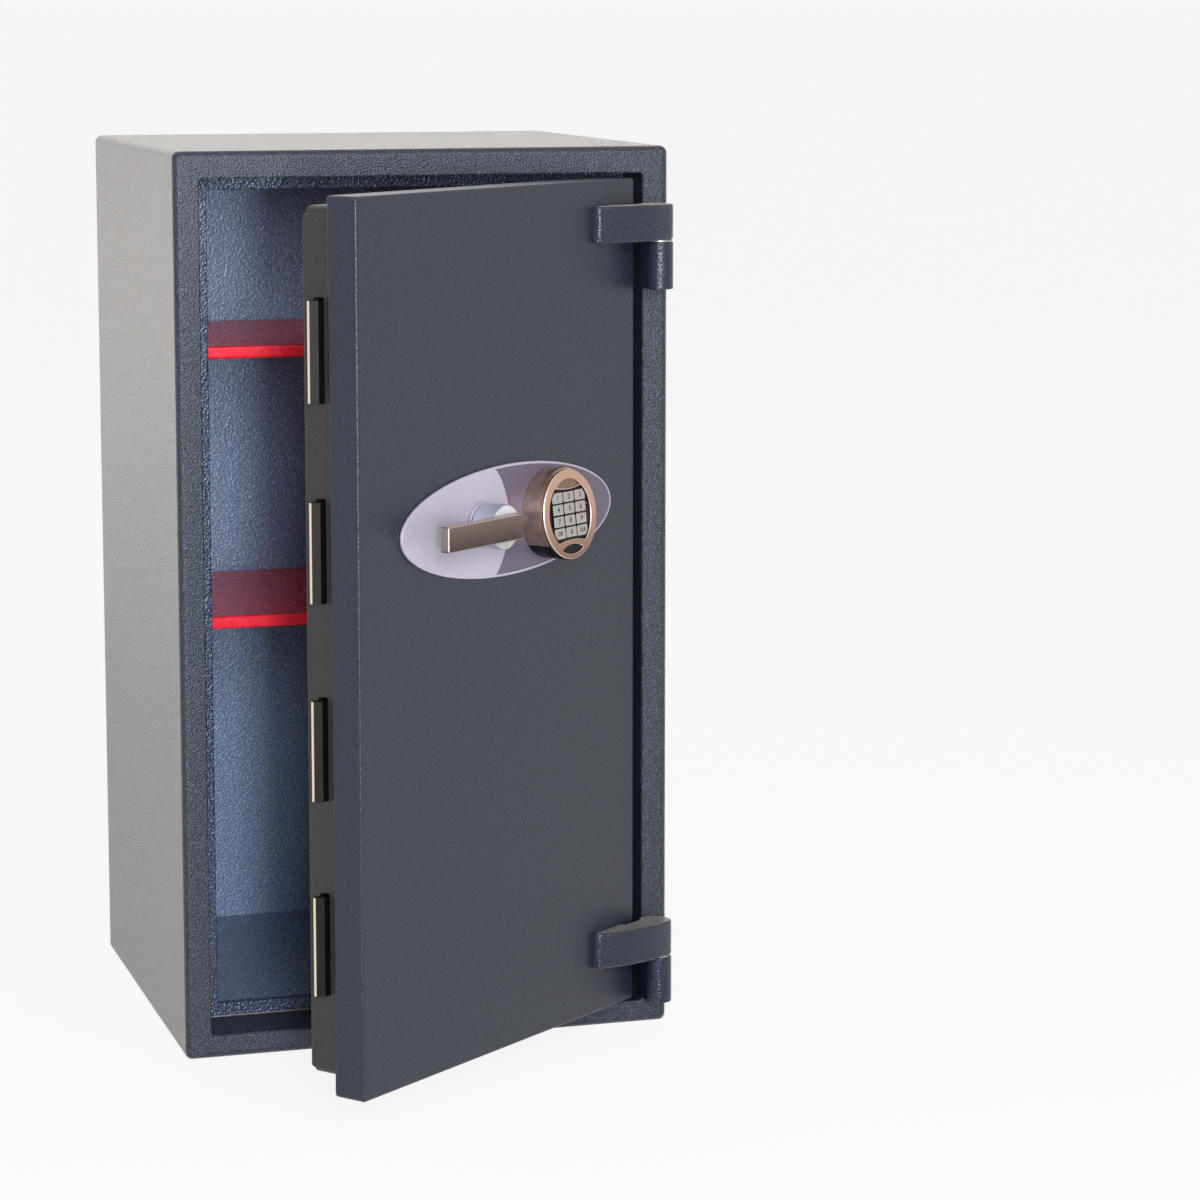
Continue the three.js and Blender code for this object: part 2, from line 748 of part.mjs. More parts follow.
function rearCover() {
  const y0 = boxBack + seat;
  const plate = frontSolid(areaOutline(boltBox, boxCorner), y0, y0 + coverSheet, coverEdge);
  const sinkProfile = [
    [0, -over], [screwHeadRadius + running, -over], [screwHeadRadius + running, 0],
    [screwRadius + running, screwHead], [screwRadius + running, over], [0, over],
  ];
  const sinks = screwPlaces().map(([x, z]) => turnedFront(
    x, y0 + coverSheet, z, sinkProfile, screwSides,
  ));
  return minus(plate, ...sinks);
}

// Countersunk screw, its head flush with the cover.
function coverScrew([x, z]) {
  const profile = [
    [0, screwSunk], [screwHeadRadius, screwSunk], [screwRadius, screwHead],
    [screwRadius, screwLength], [0, screwLength],
  ];
  const hexagon = circlePoints(x, z, screwSocket, 6);
  const socket = frontSolid(polygonOutline(hexagon), boxBack, boxBack + coverSheet + over);
  const body = turnedFront(x, boxBack + seat + coverSheet, z, profile, screwSides);
  return minus(body, socket);
}

function circlePoints(x, z, radius, count) {
  return Array.from({ length: count }, (_, i) => {
    const turn = (2 * Math.PI * i) / count;
    return [x + radius * Math.cos(turn), z + radius * Math.sin(turn)];
  });
}

function dogBar() {
  const x0 = boltBox.x1 + seat;
  const x1 = x0 + dogStrip;
  const z0 = boltMiddles[0] - boltLength / 2;
  const z1 = boltMiddles.at(-1) + boltLength / 2;
  const strip = sideSolid(
    roundedOutline(boltY0 - dogStripMargin, z0, boltY1 + dogStripMargin, z1, dogStripCorner),
    x0, x1,
  );
  const dogs = boltMiddles.map((middle) => sideSolid(
    roundedOutline(boltY0, middle - dogLength / 2, boltY1, middle + dogLength / 2, dogCorner),
    x1 - fused, rebate.x1 + dogReach,
  ));
  return plus(strip, ...dogs);
}

// Bolts, moved by the carriage
function blade(middle) {
  const outline = new THREE.Shape();
  outline.moveTo(boltTipX + boltTipEdge, boltY0);
  outline.lineTo(guideFace + boltTail, boltY0);
  outline.lineTo(guideFace + boltTail, boltY1);
  outline.lineTo(boltTipX + boltBevel, boltY1);
  outline.lineTo(boltTipX, boltY1 - boltBevel);
  outline.lineTo(boltTipX, boltY0 + boltTipEdge);
  return planSolid(outline, middle - boltLength / 2, middle + boltLength / 2);
}

function boltCarriage() {
  const z0 = boltMiddles[0] - boltLength / 2 + carriageOverrun;
  const z1 = boltMiddles.at(-1) + boltLength / 2 - carriageOverrun;
  const outline = roundedOutline(carriageX0, z0, carriageX1, z1, carriageCorner);
  const slotHalf = studNeck + running;
  studHeights.forEach((z) => outline.holes.push(roundedOutline(
    studX - boltTravel - slotHalf, z - slotHalf, studX + slotHalf, z + slotHalf, slotHalf,
  )));
  const upright = frontSolid(outline, carriageY0, carriageY1);
  const rackRoot = rackPitchZ + pinionTip + toothRootGap;
  const arm = frontSolid(
    polygonOutline([
      [carriageX1 - fused, rackRoot], [rackEndX, rackRoot],
      [rackEndX, rackRoot + rackHeight], [carriageX1 - fused, rackRoot + rackHeight],
    ]),
    carriageY0, carriageY1,
  );
  const pitch = Math.PI * toothModule;
  const teeth = Array.from({ length: rackTeeth }, (_, i) => rackTooth(handleX - (i - 1) * pitch));
  return plus(upright, arm, ...teeth);
}

function rackTooth(x) {
  const lean = Math.tan(THREE.MathUtils.degToRad(pressureAngle));
  const half = (Math.PI * toothModule - toothBacklash) / 4;
  const tip = half - rackTip * lean;
  const foot = pinionTip + toothRootGap + fused;
  const root = half + foot * lean;
  const z1 = rackPitchZ + foot;
  const z0 = rackPitchZ - rackTip;
  const outline = polygonOutline([[x - tip, z0], [x + tip, z0], [x + root, z1], [x - root, z1]]);
  return frontSolid(outline, carriageY0, carriageY1);
}

// Handle, turning on its spindle
function pinion() {
  const base = pitchRadius * Math.cos(THREE.MathUtils.degToRad(pressureAngle));
  const tipRadius = pitchRadius + pinionTip;
  const rootRadius = pitchRadius - rackTip - toothRootGap;
  const involute = (radius) => {
    const roll = Math.sqrt(Math.max(0, (radius / base) ** 2 - 1));
    return roll - Math.atan(roll);
  };
  const halfTooth = (Math.PI * toothModule - toothBacklash) / 4 / pitchRadius;
  const halfAt = (radius) => halfTooth + involute(pitchRadius) - involute(radius);
  const radii = [rootRadius, base, (base + pitchRadius) / 2, pitchRadius, tipRadius];
  const points = [];
  for (let tooth = 0; tooth < pinionTeeth; tooth++) {
    const middle = Math.PI / 2 + (2 * Math.PI * (tooth + 0.5)) / pinionTeeth;
    const flank = radii.map((radius) => [radius, halfAt(radius)]);
    const both = [
      ...flank.map(([radius, half]) => [radius, middle - half]),
      ...flank.reverse().map(([radius, half]) => [radius, middle + half]),
    ];
    points.push(...both.map(([radius, turn]) => [
      handleX + radius * Math.cos(turn), fittingsHeight + radius * Math.sin(turn),
    ]));
  }
  return frontSolid(polygonOutline(points), carriageY0, carriageY1);
}

function squareBar(y0, y1, gap) {
  const half = spindleSide / 2 + gap;
  return box(handleX - half, y0, fittingsHeight - half, handleX + half, y1, fittingsHeight + half);
}

function handleRose() {
  const outline = circleOutline(handleX, fittingsHeight, roseRadius);
  const disc = frontSolid(outline, roseFront, roseBack, roseEdge, 12);
  const y0 = roseFront - over;
  return minus(disc, roundBar(handleX, fittingsHeight, y0, roseBack + over, spindleHole));
}

function handleHub() {
  const outline = circleOutline(handleX, fittingsHeight, hubRadius);
  const drum = frontSolid(outline, hubFront, hubBack, hubEdge, 14);
  const slot = leverWidth / 2 + seat;
  const channel = box(
    handleX - hubRadius - over, hubFront - over, fittingsHeight - slot,
    handleX + leverOverhang + seat, hubFront + leverSink + seat, fittingsHeight + slot,
  );
  const socket = squareBar(hubFront + leverSink + seat + hubWeb, hubBack + over, running);
  return minus(drum, channel, socket);
}

function handleLever() {
  const outline = roundedOutline(
    handleX + leverOverhang - leverLength, fittingsHeight - leverWidth / 2,
    handleX + leverOverhang, fittingsHeight + leverWidth / 2, leverCorner,
  );
  const y1 = hubFront + leverSink;
  return frontSolid(outline, y1 - leverSheet, y1, leverEdge);
}

// The square spindle and its pinion are cut from one bar.
function spindle() {
  const y0 = hubFront + leverSink + hubWeb + 2 * seat;
  return plus(squareBar(y0, carriageY0 + fused, 0), pinion());
}

// Lock
function lockCase() {
  const x0 = lockPivotX - lockPivotInset;
  const z1 = lockPivotZ + lockAbovePivot;
  const area = { x0, z0: z1 - lockHeight, x1: x0 + lockWidth, z1 };
  const y0 = slabBack + seat;
  const y1 = y0 + lockDepth;
  const body = frontSolid(areaOutline(area, lockCorner), y0, y1);
  const middle = (carriageY0 + carriageY1) / 2;
  const room = lockBoltSheet / 2 + running;
  const round = lockBoltSide + lockPocketMargin;
  const pocket = box(
    x0 - over, middle - room, lockPivotZ - lockBoltReach - lockBoltRoom,
    lockPivotX + round, middle + room, lockPivotZ + round,
  );
  const post = roundBar(
    lockPivotX, lockPivotZ, middle - room - fused, middle + room + fused, lockPivotRadius, 6,
  );
  return plus(minus(body, pocket), post);
}

function lockBolt() {
  const middle = (carriageY0 + carriageY1) / 2;
  const outline = new THREE.Shape();
  outline.absarc(lockPivotX, lockPivotZ, lockBoltSide, -Math.PI / 2, Math.PI / 2);
  outline.absarc(
    lockPivotX - lockBoltReach + lockBoltSide, lockPivotZ, lockBoltSide, Math.PI / 2, Math.PI * 1.5,
  );
  outline.holes.push(circleOutline(lockPivotX, lockPivotZ, lockPivotRadius + running));
  return frontSolid(outline, middle - lockBoltSheet / 2, middle + lockBoltSheet / 2, 0, 6);
}

// Escutcheon
function oval(shrink) {
  const halfWidth = escutcheonWidth / 2 - shrink;
  const halfHeight = escutcheonHeight / 2 - shrink;
  const outline = new THREE.Shape();
  return outline.absellipse(escutcheonX, fittingsHeight, halfWidth, halfHeight, 0, Math.PI * 2);
}

function inlayArea(y0, y1, shrink) {
  const arcX = slab.x0 + inlayArcFromEdge;
  const whole = frontSolid(oval(escutcheonRim + shrink), y0, y1, 0, 24);
  const disc = roundBar(arcX, fittingsHeight, y0 - over, y1 + over, inlayArcRadius + shrink, 20);
  const freeSide = box(slab.x0, y0 - over, slab.z0, arcX, y1 + over, slab.z1);
  return minus(whole, disc, freeSide);
}

function escutcheon() {
  const plate = frontSolid(oval(0), plateFront, plateBack, escutcheonEdge, 20);
  const recess = inlayArea(plateFront - over, plateFront + inlaySheet + seat, 0);
  return minus(plate, recess, ...slabHoles(plateFront - over, plateBack + over));
}

function escutcheonInlay() {
  const sheet = inlayArea(plateFront, plateFront + inlaySheet, seat / 2);
  return minus(sheet, ...slabHoles(plateFront - over, plateBack + over));
}

// Keypad. Its face group slopes: X and Z lie in the face, and Y runs into the door.
const keypadFace = new THREE.Group();
const faceFront = plateFront - seat - housingHeight - seat - faceSheet;
keypadFace.position.set(keypadX, faceFront, fittingsHeight);
keypadFace.rotation.x = THREE.MathUtils.degToRad(-faceTilt);
keypadFace.updateMatrix();

function inFace(solid) {
  return solid.transform(keypadFace.matrix.elements);
}

// A block from the door up past the keypad's face, between two heights off the keypad's middle.
function keypadBand(below, above) {
  const reach = 2 * housingRadius;
  return box(
    keypadX - reach, plateFront - reach, fittingsHeight + below,
    keypadX + reach, plateFront, fittingsHeight + above,
  );
}

// All that lies ahead of a plane parallel to the face.
function aheadOfFace(behind) {
  const reach = 2 * housingRadius;
  return inFace(box(-reach, -reach, -reach, reach, behind, reach));
}

function keypadHousing() {
  const y1 = plateFront - seat;
  const y0 = y1 - 2 * housingHeight;
  const reach = 2 * housingRadius;
  const drum = roundBar(keypadX, fittingsHeight, y0, y1, housingRadius, 20);
  const hollow = minus(
    roundBar(keypadX, fittingsHeight, y0 - over, y1 - housingWall, housingRadius - housingWall, 16),
    keypadBand(-reach, batteryRoof - batteryChord),
  );
  const bay = keypadBand(-reach, -batteryChord);
  const cable = roundBar(
    keypadX, fittingsHeight, y1 - housingWall - over, y1 + over, cableHole, 6,
  );
  return minus(drum, aheadOfFace(faceSheet + seat), hollow, bay, cable);
}

function batteryDrawer() {
  const y1 = plateFront - seat;
  const reach = 2 * housingRadius;
  const outline = circleOutline(keypadX, fittingsHeight, housingRadius - drawerInset);
  const drum = frontSolid(outline, y1 - 2 * housingHeight, y1, 0, 20);
  const floor = fittingsHeight - housingRadius;
  const grip = box(
    keypadX - gripHalfWidth, y1 - gripFromPlate - gripWidth, floor - gripDeep,
    keypadX + gripHalfWidth, y1 - gripFromPlate, floor + gripDeep,
  );
  const above = keypadBand(-batteryChord - running, reach);
  return minus(drum, aheadOfFace(faceSheet + 2 * seat), above, grip);
}

// The window's outline: two sides of a circle, and top and bottom arcs that bulge in.
function windowOutline(shrink) {
  const radius = windowRadius - shrink;
  const high = windowHalfHeight - shrink;
  const corner = Math.asin(high / radius);
  const half = radius * Math.cos(corner);
  const bow = (half ** 2 + windowDip ** 2) / (2 * windowDip);
  const swing = Math.asin(half / bow);
  const outline = new THREE.Shape();
  outline.absarc(0, 0, radius, -corner, corner);
  outline.absarc(0, high - windowDip + bow, bow, -Math.PI / 2 + swing, -Math.PI / 2 - swing, true);
  outline.absarc(0, 0, radius, Math.PI - corner, Math.PI + corner);
  outline.absarc(0, windowDip - high - bow, bow, Math.PI / 2 + swing, Math.PI / 2 - swing, true);
  return outline;
}

function lensOutline(halfWidth, halfHeight, z) {
  const bow = (halfWidth ** 2 + halfHeight ** 2) / (2 * halfHeight);
  const swing = Math.asin(halfWidth / bow);
  const outline = new THREE.Shape();
  outline.absarc(0, z + halfHeight - bow, bow, Math.PI / 2 - swing, Math.PI / 2 + swing);
  outline.absarc(0, z - halfHeight + bow, bow, Math.PI * 1.5 - swing, Math.PI * 1.5 + swing);
  return outline;
}

function keypadFaceRing() {
  const disc = frontSolid(circleOutline(0, 0, faceRadius), 0, faceSheet, faceEdge, 20);
  const opening = frontSolid(windowOutline(0), -over, faceSheet + over, 0, 5);
  const lens = lensOutline(lensHalfWidth, lensHalfHeight, lensMiddle);
  const lensHole = frontSolid(lens, -over, faceSheet + over, 0, 4);
  const middle = (windowHalfHeight + recessRise) / 2;
  const recess = lensOutline(recessHalfWidth, recessRise - middle, middle);
  const thumb = frontSolid(recess, -over, recessDeep, 0, 4);
  return minus(disc, opening, lensHole, thumb);
}

function keypadMat() {
  const y0 = faceSheet + seat;
  const plate = roundBar(0, 0, y0, y0 + matSheet, housingRadius - housingWall - matInset, 12);
  const room = housingRadius * 2;
  const roof = batteryRoof - batteryChord + matOverRoof;
  const battery = box(-room, faceSheet, -room, room, y0 + matSheet + over, roof);
  const pad = frontSolid(windowOutline(seat), matBehind, y0 + fused, 0, 5);
  const stems = keyPlaces.map(({ x, z }) => {
    const half = stemSide / 2 + running;
    return box(x - half, -over, z - half, x + half, y0 + matSheet + over, z + half);
  });
  return minus(plus(plate, pad), battery, ...stems);
}

function keypadLens() {
  const outline = lensOutline(lensHalfWidth - seat, lensHalfHeight - seat, lensMiddle);
  return frontSolid(outline, lensBelow, faceSheet, lensEdge, 4);
}

const keyLabels = ['1', '2', '3', '4', '5', '6', '7', '8', '9', 'left', '0', 'right'];
const keyPlaces = keyLabels.map((label, i) => ({
  label,
  x: ((i % 3) - 1) * keyPitchX,
  z: (1.5 - Math.floor(i / 3)) * keyPitchZ,
}));

function key({ x, z }) {
  const cap = frontSolid(
    roundedOutline(
      x - keyWidth / 2, z - keyHeight / 2, x + keyWidth / 2, z + keyHeight / 2, keyCorner,
    ),
    keyRise, keyRise + keyCap, keyEdge, 1,
  );
  const inWindow = frontSolid(windowOutline(keyWindowGap), -over, faceSheet, 0, 5);
  const half = stemSide / 2;
  const stem = box(
    x - half, keyRise + keyCap - fused, z - half,
    x + half, faceSheet + seat + matSheet - keyTravel, z + half,
  );
  return plus(cap.intersect(inWindow), stem);
}

// Assembly
const safe = new THREE.Group();
safe.add(
  piece('outer_casing', outerCasing(), graphitePaint),
  piece('rebate_frame', rebateFrame(), graphitePaint),
  piece('inner_liner', innerLiner(), linerPaint),
  piece('barrier_fill', barrierFill(), concrete),
  piece('floor_anchor_plug', anchorPlug(), blackPlastic),
);

shelves.forEach(({ name, top }) => {
  safe.add(
    piece(`shelf_${name}`, shelf(top), redPaint),
    piece(`shelf_rail_${name}_left`, shelfRail(top, -1), zincSteel),
    piece(`shelf_rail_${name}_right`, shelfRail(top, 1), zincSteel),
  );
});

hinges.forEach(({ name, strapBottom }) => {
  safe.add(
    piece(`hinge_knuckle_${name}`, hingeKnuckle(strapBottom), graphitePaint),
    piece(`hinge_pin_${name}`, hingePin(strapBottom), zincSteel),
    piece(`hinge_washer_${name}`, thrustWasher(strapBottom), zincSteel),
  );
});

// The hinge group turns about the pin, and the door's pieces keep their closed places in it.
const hinge = new THREE.Group();
hinge.position.set(pinX, pinY, 0);
hinge.rotation.z = THREE.MathUtils.degToRad(openAngle);
const door = new THREE.Group();
door.position.set(-pinX, -pinY, 0);
hinge.add(door);
safe.add(hinge);

door.add(
  piece('door_skin', doorSkinPan(), graphitePaint),
  piece('door_barrier_fill', doorFill(), concrete),
  piece('door_back_plate', doorBackPlateSolid(), darkPaint),
  piece('bolt_box', boltBoxSolid(), darkPaint),
  piece('bolt_guide', boltGuide(), darkPaint),
  piece('rear_cover', rearCover(), darkPaint),
  piece('hinge_side_dogs', dogBar(), blackSteel),
  piece('escutcheon', escutcheon(), silverPlate),
  piece('escutcheon_inlay', escutcheonInlay(), darkInlay),
  piece('handle_rose', handleRose(), satinChrome),
  piece('handle_hub', handleHub(), satinChrome),
  piece('handle_lever', handleLever(), brushedSteel),
  piece('handle_spindle', spindle(), zincSteel),
  piece('bolt_carriage', boltCarriage(), zincSteel),
  piece('lock_case', lockCase(), zincSteel),
  piece('lock_bolt', lockBolt(), blackSteel),
  piece('keypad_housing', keypadHousing(), champagneMetal),
  piece('battery_drawer', batteryDrawer(), blackPlastic),
);
hinges.forEach(({ name, strapBottom }) => {
  door.add(piece(`hinge_strap_${name}`, hingeStrap(strapBottom), graphitePaint));
});
boltMiddles.forEach((middle, i) => {
  door.add(piece(`bolt_${i + 1}`, blade(middle), blackSteel));
});
screwPlaces().forEach((place, i) => {
  door.add(piece(`cover_screw_${i + 1}`, coverScrew(place), zincSteel));
});

keypadFace.add(
  piece('keypad_face', keypadFaceRing(), champagneMetal),
  piece('keypad_mat', keypadMat(), blackPlastic),
  piece('keypad_lens', keypadLens(), blackPlastic),
);
keyPlaces.forEach((place) => {
  keypadFace.add(piece(`key_${place.label}`, key(place), keyPlastic));
});
door.add(keypadFace);

export default safe;
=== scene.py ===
import json
import math

import bmesh
import bpy
from mathutils import Matrix, Vector


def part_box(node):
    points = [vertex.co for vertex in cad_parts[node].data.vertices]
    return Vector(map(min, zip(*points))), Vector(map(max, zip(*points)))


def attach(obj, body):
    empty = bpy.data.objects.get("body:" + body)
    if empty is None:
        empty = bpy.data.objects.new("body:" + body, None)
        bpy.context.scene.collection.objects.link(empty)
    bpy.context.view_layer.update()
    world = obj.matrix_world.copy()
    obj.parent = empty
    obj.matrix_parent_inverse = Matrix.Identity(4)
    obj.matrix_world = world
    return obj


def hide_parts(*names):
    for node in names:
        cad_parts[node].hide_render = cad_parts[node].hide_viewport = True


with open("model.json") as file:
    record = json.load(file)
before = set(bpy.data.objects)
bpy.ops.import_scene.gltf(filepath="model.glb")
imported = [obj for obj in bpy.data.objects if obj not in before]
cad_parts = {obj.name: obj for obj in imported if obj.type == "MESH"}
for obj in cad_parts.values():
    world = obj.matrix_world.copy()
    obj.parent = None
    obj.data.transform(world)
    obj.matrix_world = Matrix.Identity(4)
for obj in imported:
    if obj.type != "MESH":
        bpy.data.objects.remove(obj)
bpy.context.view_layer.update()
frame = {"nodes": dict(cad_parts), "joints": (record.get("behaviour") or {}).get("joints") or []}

# Outer casing
# A box of 3 mm sheet steel with rolled edges, welded shut and open at the front where the doorway
# is cut. It is drawn as rings that run from the inside over the doorway's lip, the front and the
# sides to the back. The finish is a textured powder coat, baked on over the bare steel.
mm = 0.001
case_low, case_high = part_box("outer_casing")
liner_low, liner_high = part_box("inner_liner")
casing_sheet = 3 * mm
casing_edge = 7 * mm
doorway_corner = 3 * mm
doorway_lip = 1.5 * mm
flange_gap = 1 * mm  # the liner's flange stops this short of the doorway
anchor_radius = 8 * mm
anchor_from_back = 130 * mm
corner_steps = 8
edge_steps = 5
drill_steps = 32
weld_distance = 0.002 * mm
sharp_fold = math.radians(35)
coat_change = 2 * mm  # the depth in which one coat gives way to another


def front(across, up, depth):
    return Vector((across, depth, up))


def plan(across, along, height):
    return Vector((across, along, height))


def rounded(x0, z0, x1, z1, corner):
    """The outline of a rectangle with round corners, as flat points."""
    points = []
    middles = (
        (x1 - corner, z0 + corner),
        (x1 - corner, z1 - corner),
        (x0 + corner, z1 - corner),
        (x0 + corner, z0 + corner),
    )
    for quarter, (x, z) in enumerate(middles):
        for step in range(corner_steps + 1):
            angle = math.tau / 4 * (quarter - 1 + step / corner_steps)
            points.append((x + corner * math.cos(angle), z + corner * math.sin(angle)))
    return points


def ring(area, inset, corner, y):
    """A rounded rectangle in front view that lies `inset` inside an area, at one depth."""
    x0, z0, x1, z1 = area
    outline = rounded(x0 + inset, z0 + inset, x1 - inset, z1 - inset, max(corner - inset, 0))
    return [front(x, z, y) for x, z in outline]


def rolled(area, corner, y, edge, depthwise=1, inwards=1):
    """The rings of a rounded edge, from the face at `y` to the side."""
    rings = []
    for step in range(edge_steps + 1):
        turn = math.tau / 4 * step / edge_steps
        inset = inwards * edge * (1 - math.sin(turn))
        depth = edge * (1 - math.cos(turn))
        rings.append(ring(area, inset, corner, y + depthwise * depth))
    return rings


def new_object(name, data):
    piece = bpy.data.objects.new(name, data)
    bpy.context.scene.collection.objects.link(piece)
    return piece


def built(name, mesh):
    """An object from a mesh, smooth over its roundings and sharp where it folds."""
    bmesh.ops.remove_doubles(mesh, verts=mesh.verts, dist=weld_distance)
    bmesh.ops.recalc_face_normals(mesh, faces=mesh.faces)
    data = bpy.data.meshes.new(name)
    mesh.to_mesh(data)
    mesh.free()
    data.shade_smooth()
    data.set_sharp_from_angle(angle=sharp_fold)
    return new_object(name, data)


def skin(name, rings, closed=False):
    """A solid through rings of points. A closed one joins its last ring to its first."""
    mesh = bmesh.new()
    loops = [[mesh.verts.new(point) for point in points] for points in rings]
    for near, far in zip(loops, loops[1:] + loops[:1]) if closed else zip(loops, loops[1:]):
        for i, corner in enumerate(near):
            mesh.faces.new((near[i - 1], corner, far[i], far[i - 1]))
    if not closed:
        mesh.faces.new(loops[0])
        mesh.faces.new(loops[-1])
    return built(name, mesh)


def cut(piece, *cutters, keep="DIFFERENCE"):
    """Takes the cutters' shapes out of a piece's mesh and deletes them."""
    for cutter in cutters:
        modifier = piece.modifiers.new("cut", "BOOLEAN")
        modifier.object = cutter
        modifier.operation = keep
        modifier.solver = "EXACT"
    shown = piece.evaluated_get(bpy.context.evaluated_depsgraph_get())
    data = bpy.data.meshes.new_from_object(shown)
    piece.modifiers.clear()
    piece.data = data
    data.shade_smooth()
    data.set_sharp_from_angle(angle=sharp_fold)
    for cutter in cutters:
        bpy.data.objects.remove(cutter)


def plate(name, outline, low, high, view=front, edge=0.0, holes=(), hole_edge=0.0):
    """A flat piece: an outline drawn in one view, from depth `low` to `high`, its rims rounded."""
    mesh = bmesh.new()
    lines = [[mesh.verts.new(view(u, v, low)) for u, v in line] for line in (outline, *holes)]
    if holes:
        sides = [
            mesh.edges.new(ends) for line in lines for ends in zip(line, line[1:] + line[:1])
        ]
        bmesh.ops.triangle_fill(mesh, edges=sides, use_beauty=True)
    else:
        mesh.faces.new(lines[0])
    step = view(0, 0, high) - view(0, 0, low)
    twins = {corner: mesh.verts.new(corner.co + step) for line in lines for corner in line}
    for face in list(mesh.faces):
        mesh.faces.new([twins[corner] for corner in face.verts])
    rims = []
    for line, rounding in zip(lines, [edge] + [hole_edge] * len(holes)):
        for a, b in zip(line, line[1:] + line[:1]):
            mesh.faces.new((a, b, twins[b], twins[a]))
            rims.append((rounding, (a, b), (twins[a], twins[b])))
    bmesh.ops.recalc_face_normals(mesh, faces=mesh.faces)
    for rounding in {edge, hole_edge} - {0.0}:
        edges = [
            mesh.edges.get(ends)
            for width, *pairs in rims
            if width == rounding
            for ends in pairs
            if all(end.is_valid for end in ends)
        ]
        bmesh.ops.bevel(
            mesh, geom=edges, offset=rounding, segments=edge_steps, profile=0.5, affect="EDGES",
        )
    return built(name, mesh)


def circle(x, z, radius, count=96):
    angles = [math.tau * step / count for step in range(count)]
    return [(x + radius * math.cos(angle), z + radius * math.sin(angle)) for angle in angles]


def linear(code):
    """The linear values of an sRGB hex colour."""
    parts = [int(code[i : i + 2], 16) / 255 for i in (1, 3, 5)]
    return [((c + 0.055) / 1.055) ** 2.4 if c > 0.04045 else c / 12.92 for c in parts] + [1.0]


def add(tree, kind, inputs, **settings):
    """Adds a node with its settings. An input is a value, or the socket that feeds it."""
    node = tree.nodes.new(kind)
    for name, value in settings.items():
        setattr(node, name, value)
    for name, value in inputs.items():
        if isinstance(value, bpy.types.NodeSocket):
            tree.links.new(value, node.inputs[name])
        else:
            node.inputs[name].default_value = value
    return node


def new_material(name):
    """A material, its emptied tree, and the place on the piece that patterns are laid by."""
    material = bpy.data.materials.new(name)
    material.use_nodes = True
    tree = material.node_tree
    tree.nodes.clear()
    return material, tree, add(tree, "ShaderNodeTexCoord", {}).outputs["Object"]


def close(tree, inputs):
    """Ends a material in its shader and output."""
    shader = add(tree, "ShaderNodeBsdfPrincipled", inputs)
    add(tree, "ShaderNodeOutputMaterial", {"Surface": shader.outputs["BSDF"]})


def powder_coat(name, tone, fleck, grain, relief, roughness, sheen=0.0, inside=None):
    """Textured polyester powder coat: a leathery skin of small lumps that glint where they lean.

    `inside` is a depth and two tones, which the coat has behind that depth.
    """
    material, tree, place = new_material(name)
    lumps = add(tree, "ShaderNodeTexNoise", {"Vector": place, "Scale": 1 / grain, "Detail": 3.0})
    cells = add(tree, "ShaderNodeTexVoronoi", {"Vector": place, "Scale": 0.8 / grain})
    height = add(
        tree, "ShaderNodeMath",
        {0: lumps.outputs["Fac"], 1: cells.outputs["Distance"]}, operation="ADD",
    )
    bump = add(tree, "ShaderNodeBump", {"Height": height.outputs[0], "Distance": relief})
    crests = add(
        tree, "ShaderNodeMapRange",
        {"Value": lumps.outputs["Fac"], "From Min": 0.5, "From Max": 0.75},
    ).outputs[0]
    colour = add(
        tree, "ShaderNodeMix", {0: crests, 6: linear(tone), 7: linear(fleck)}, data_type="RGBA",
    )
    if inside:
        depth, deep_tone, deep_fleck = inside
        parts = add(tree, "ShaderNodeSeparateXYZ", {"Vector": place})
        behind = add(
            tree, "ShaderNodeMapRange",
            {"Value": parts.outputs["Y"], "From Min": depth, "From Max": depth + coat_change},
        )
        deep = add(
            tree, "ShaderNodeMix", {0: crests, 6: linear(deep_tone), 7: linear(deep_fleck)},
            data_type="RGBA",
        )
        colour = add(
            tree, "ShaderNodeMix",
            {0: behind.outputs[0], 6: colour.outputs[2], 7: deep.outputs[2]}, data_type="RGBA",
        )
    gloss = add(
        tree, "ShaderNodeMapRange",
        {"Value": lumps.outputs["Fac"], "To Min": roughness - 0.08, "To Max": roughness + 0.08},
    )
    close(tree, {
        "Base Color": colour.outputs[2],
        "Roughness": gloss.outputs[0],
        "Normal": bump.outputs[0],
        "IOR": 1.45,
        "Sheen Weight": sheen,
        "Sheen Roughness": 0.35,
        "Sheen Tint": linear("#fff3e6"),
    })
    return material


# The coat's lumps are about 1.2 mm on the case. They are drawn at 1.4 mm, so that they show. Seen
# flat along a side or the top the coat turns pale, which its sheen stands for.
case_paint = powder_coat(
    "graphite_powder_coat", "#1b1f28", "#4d5566",
    grain=1.4 * mm, relief=0.36 * mm, roughness=0.36, sheen=0.46,
)


def show(piece, material, body, slot, *nodes, place=None):
    """Gives a piece its finish and its body, in the place of these nodes of the frame."""
    piece.data.materials.clear()
    piece.data.materials.append(material)
    piece.modifiers.new("even faces", "WEIGHTED_NORMAL").keep_sharp = True
    if place is not None:
        piece.matrix_world = place
    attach(piece, body)
    if nodes:
        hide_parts(*nodes)


def area_of(low, high):
    return (low.x, low.z, high.x, high.z)


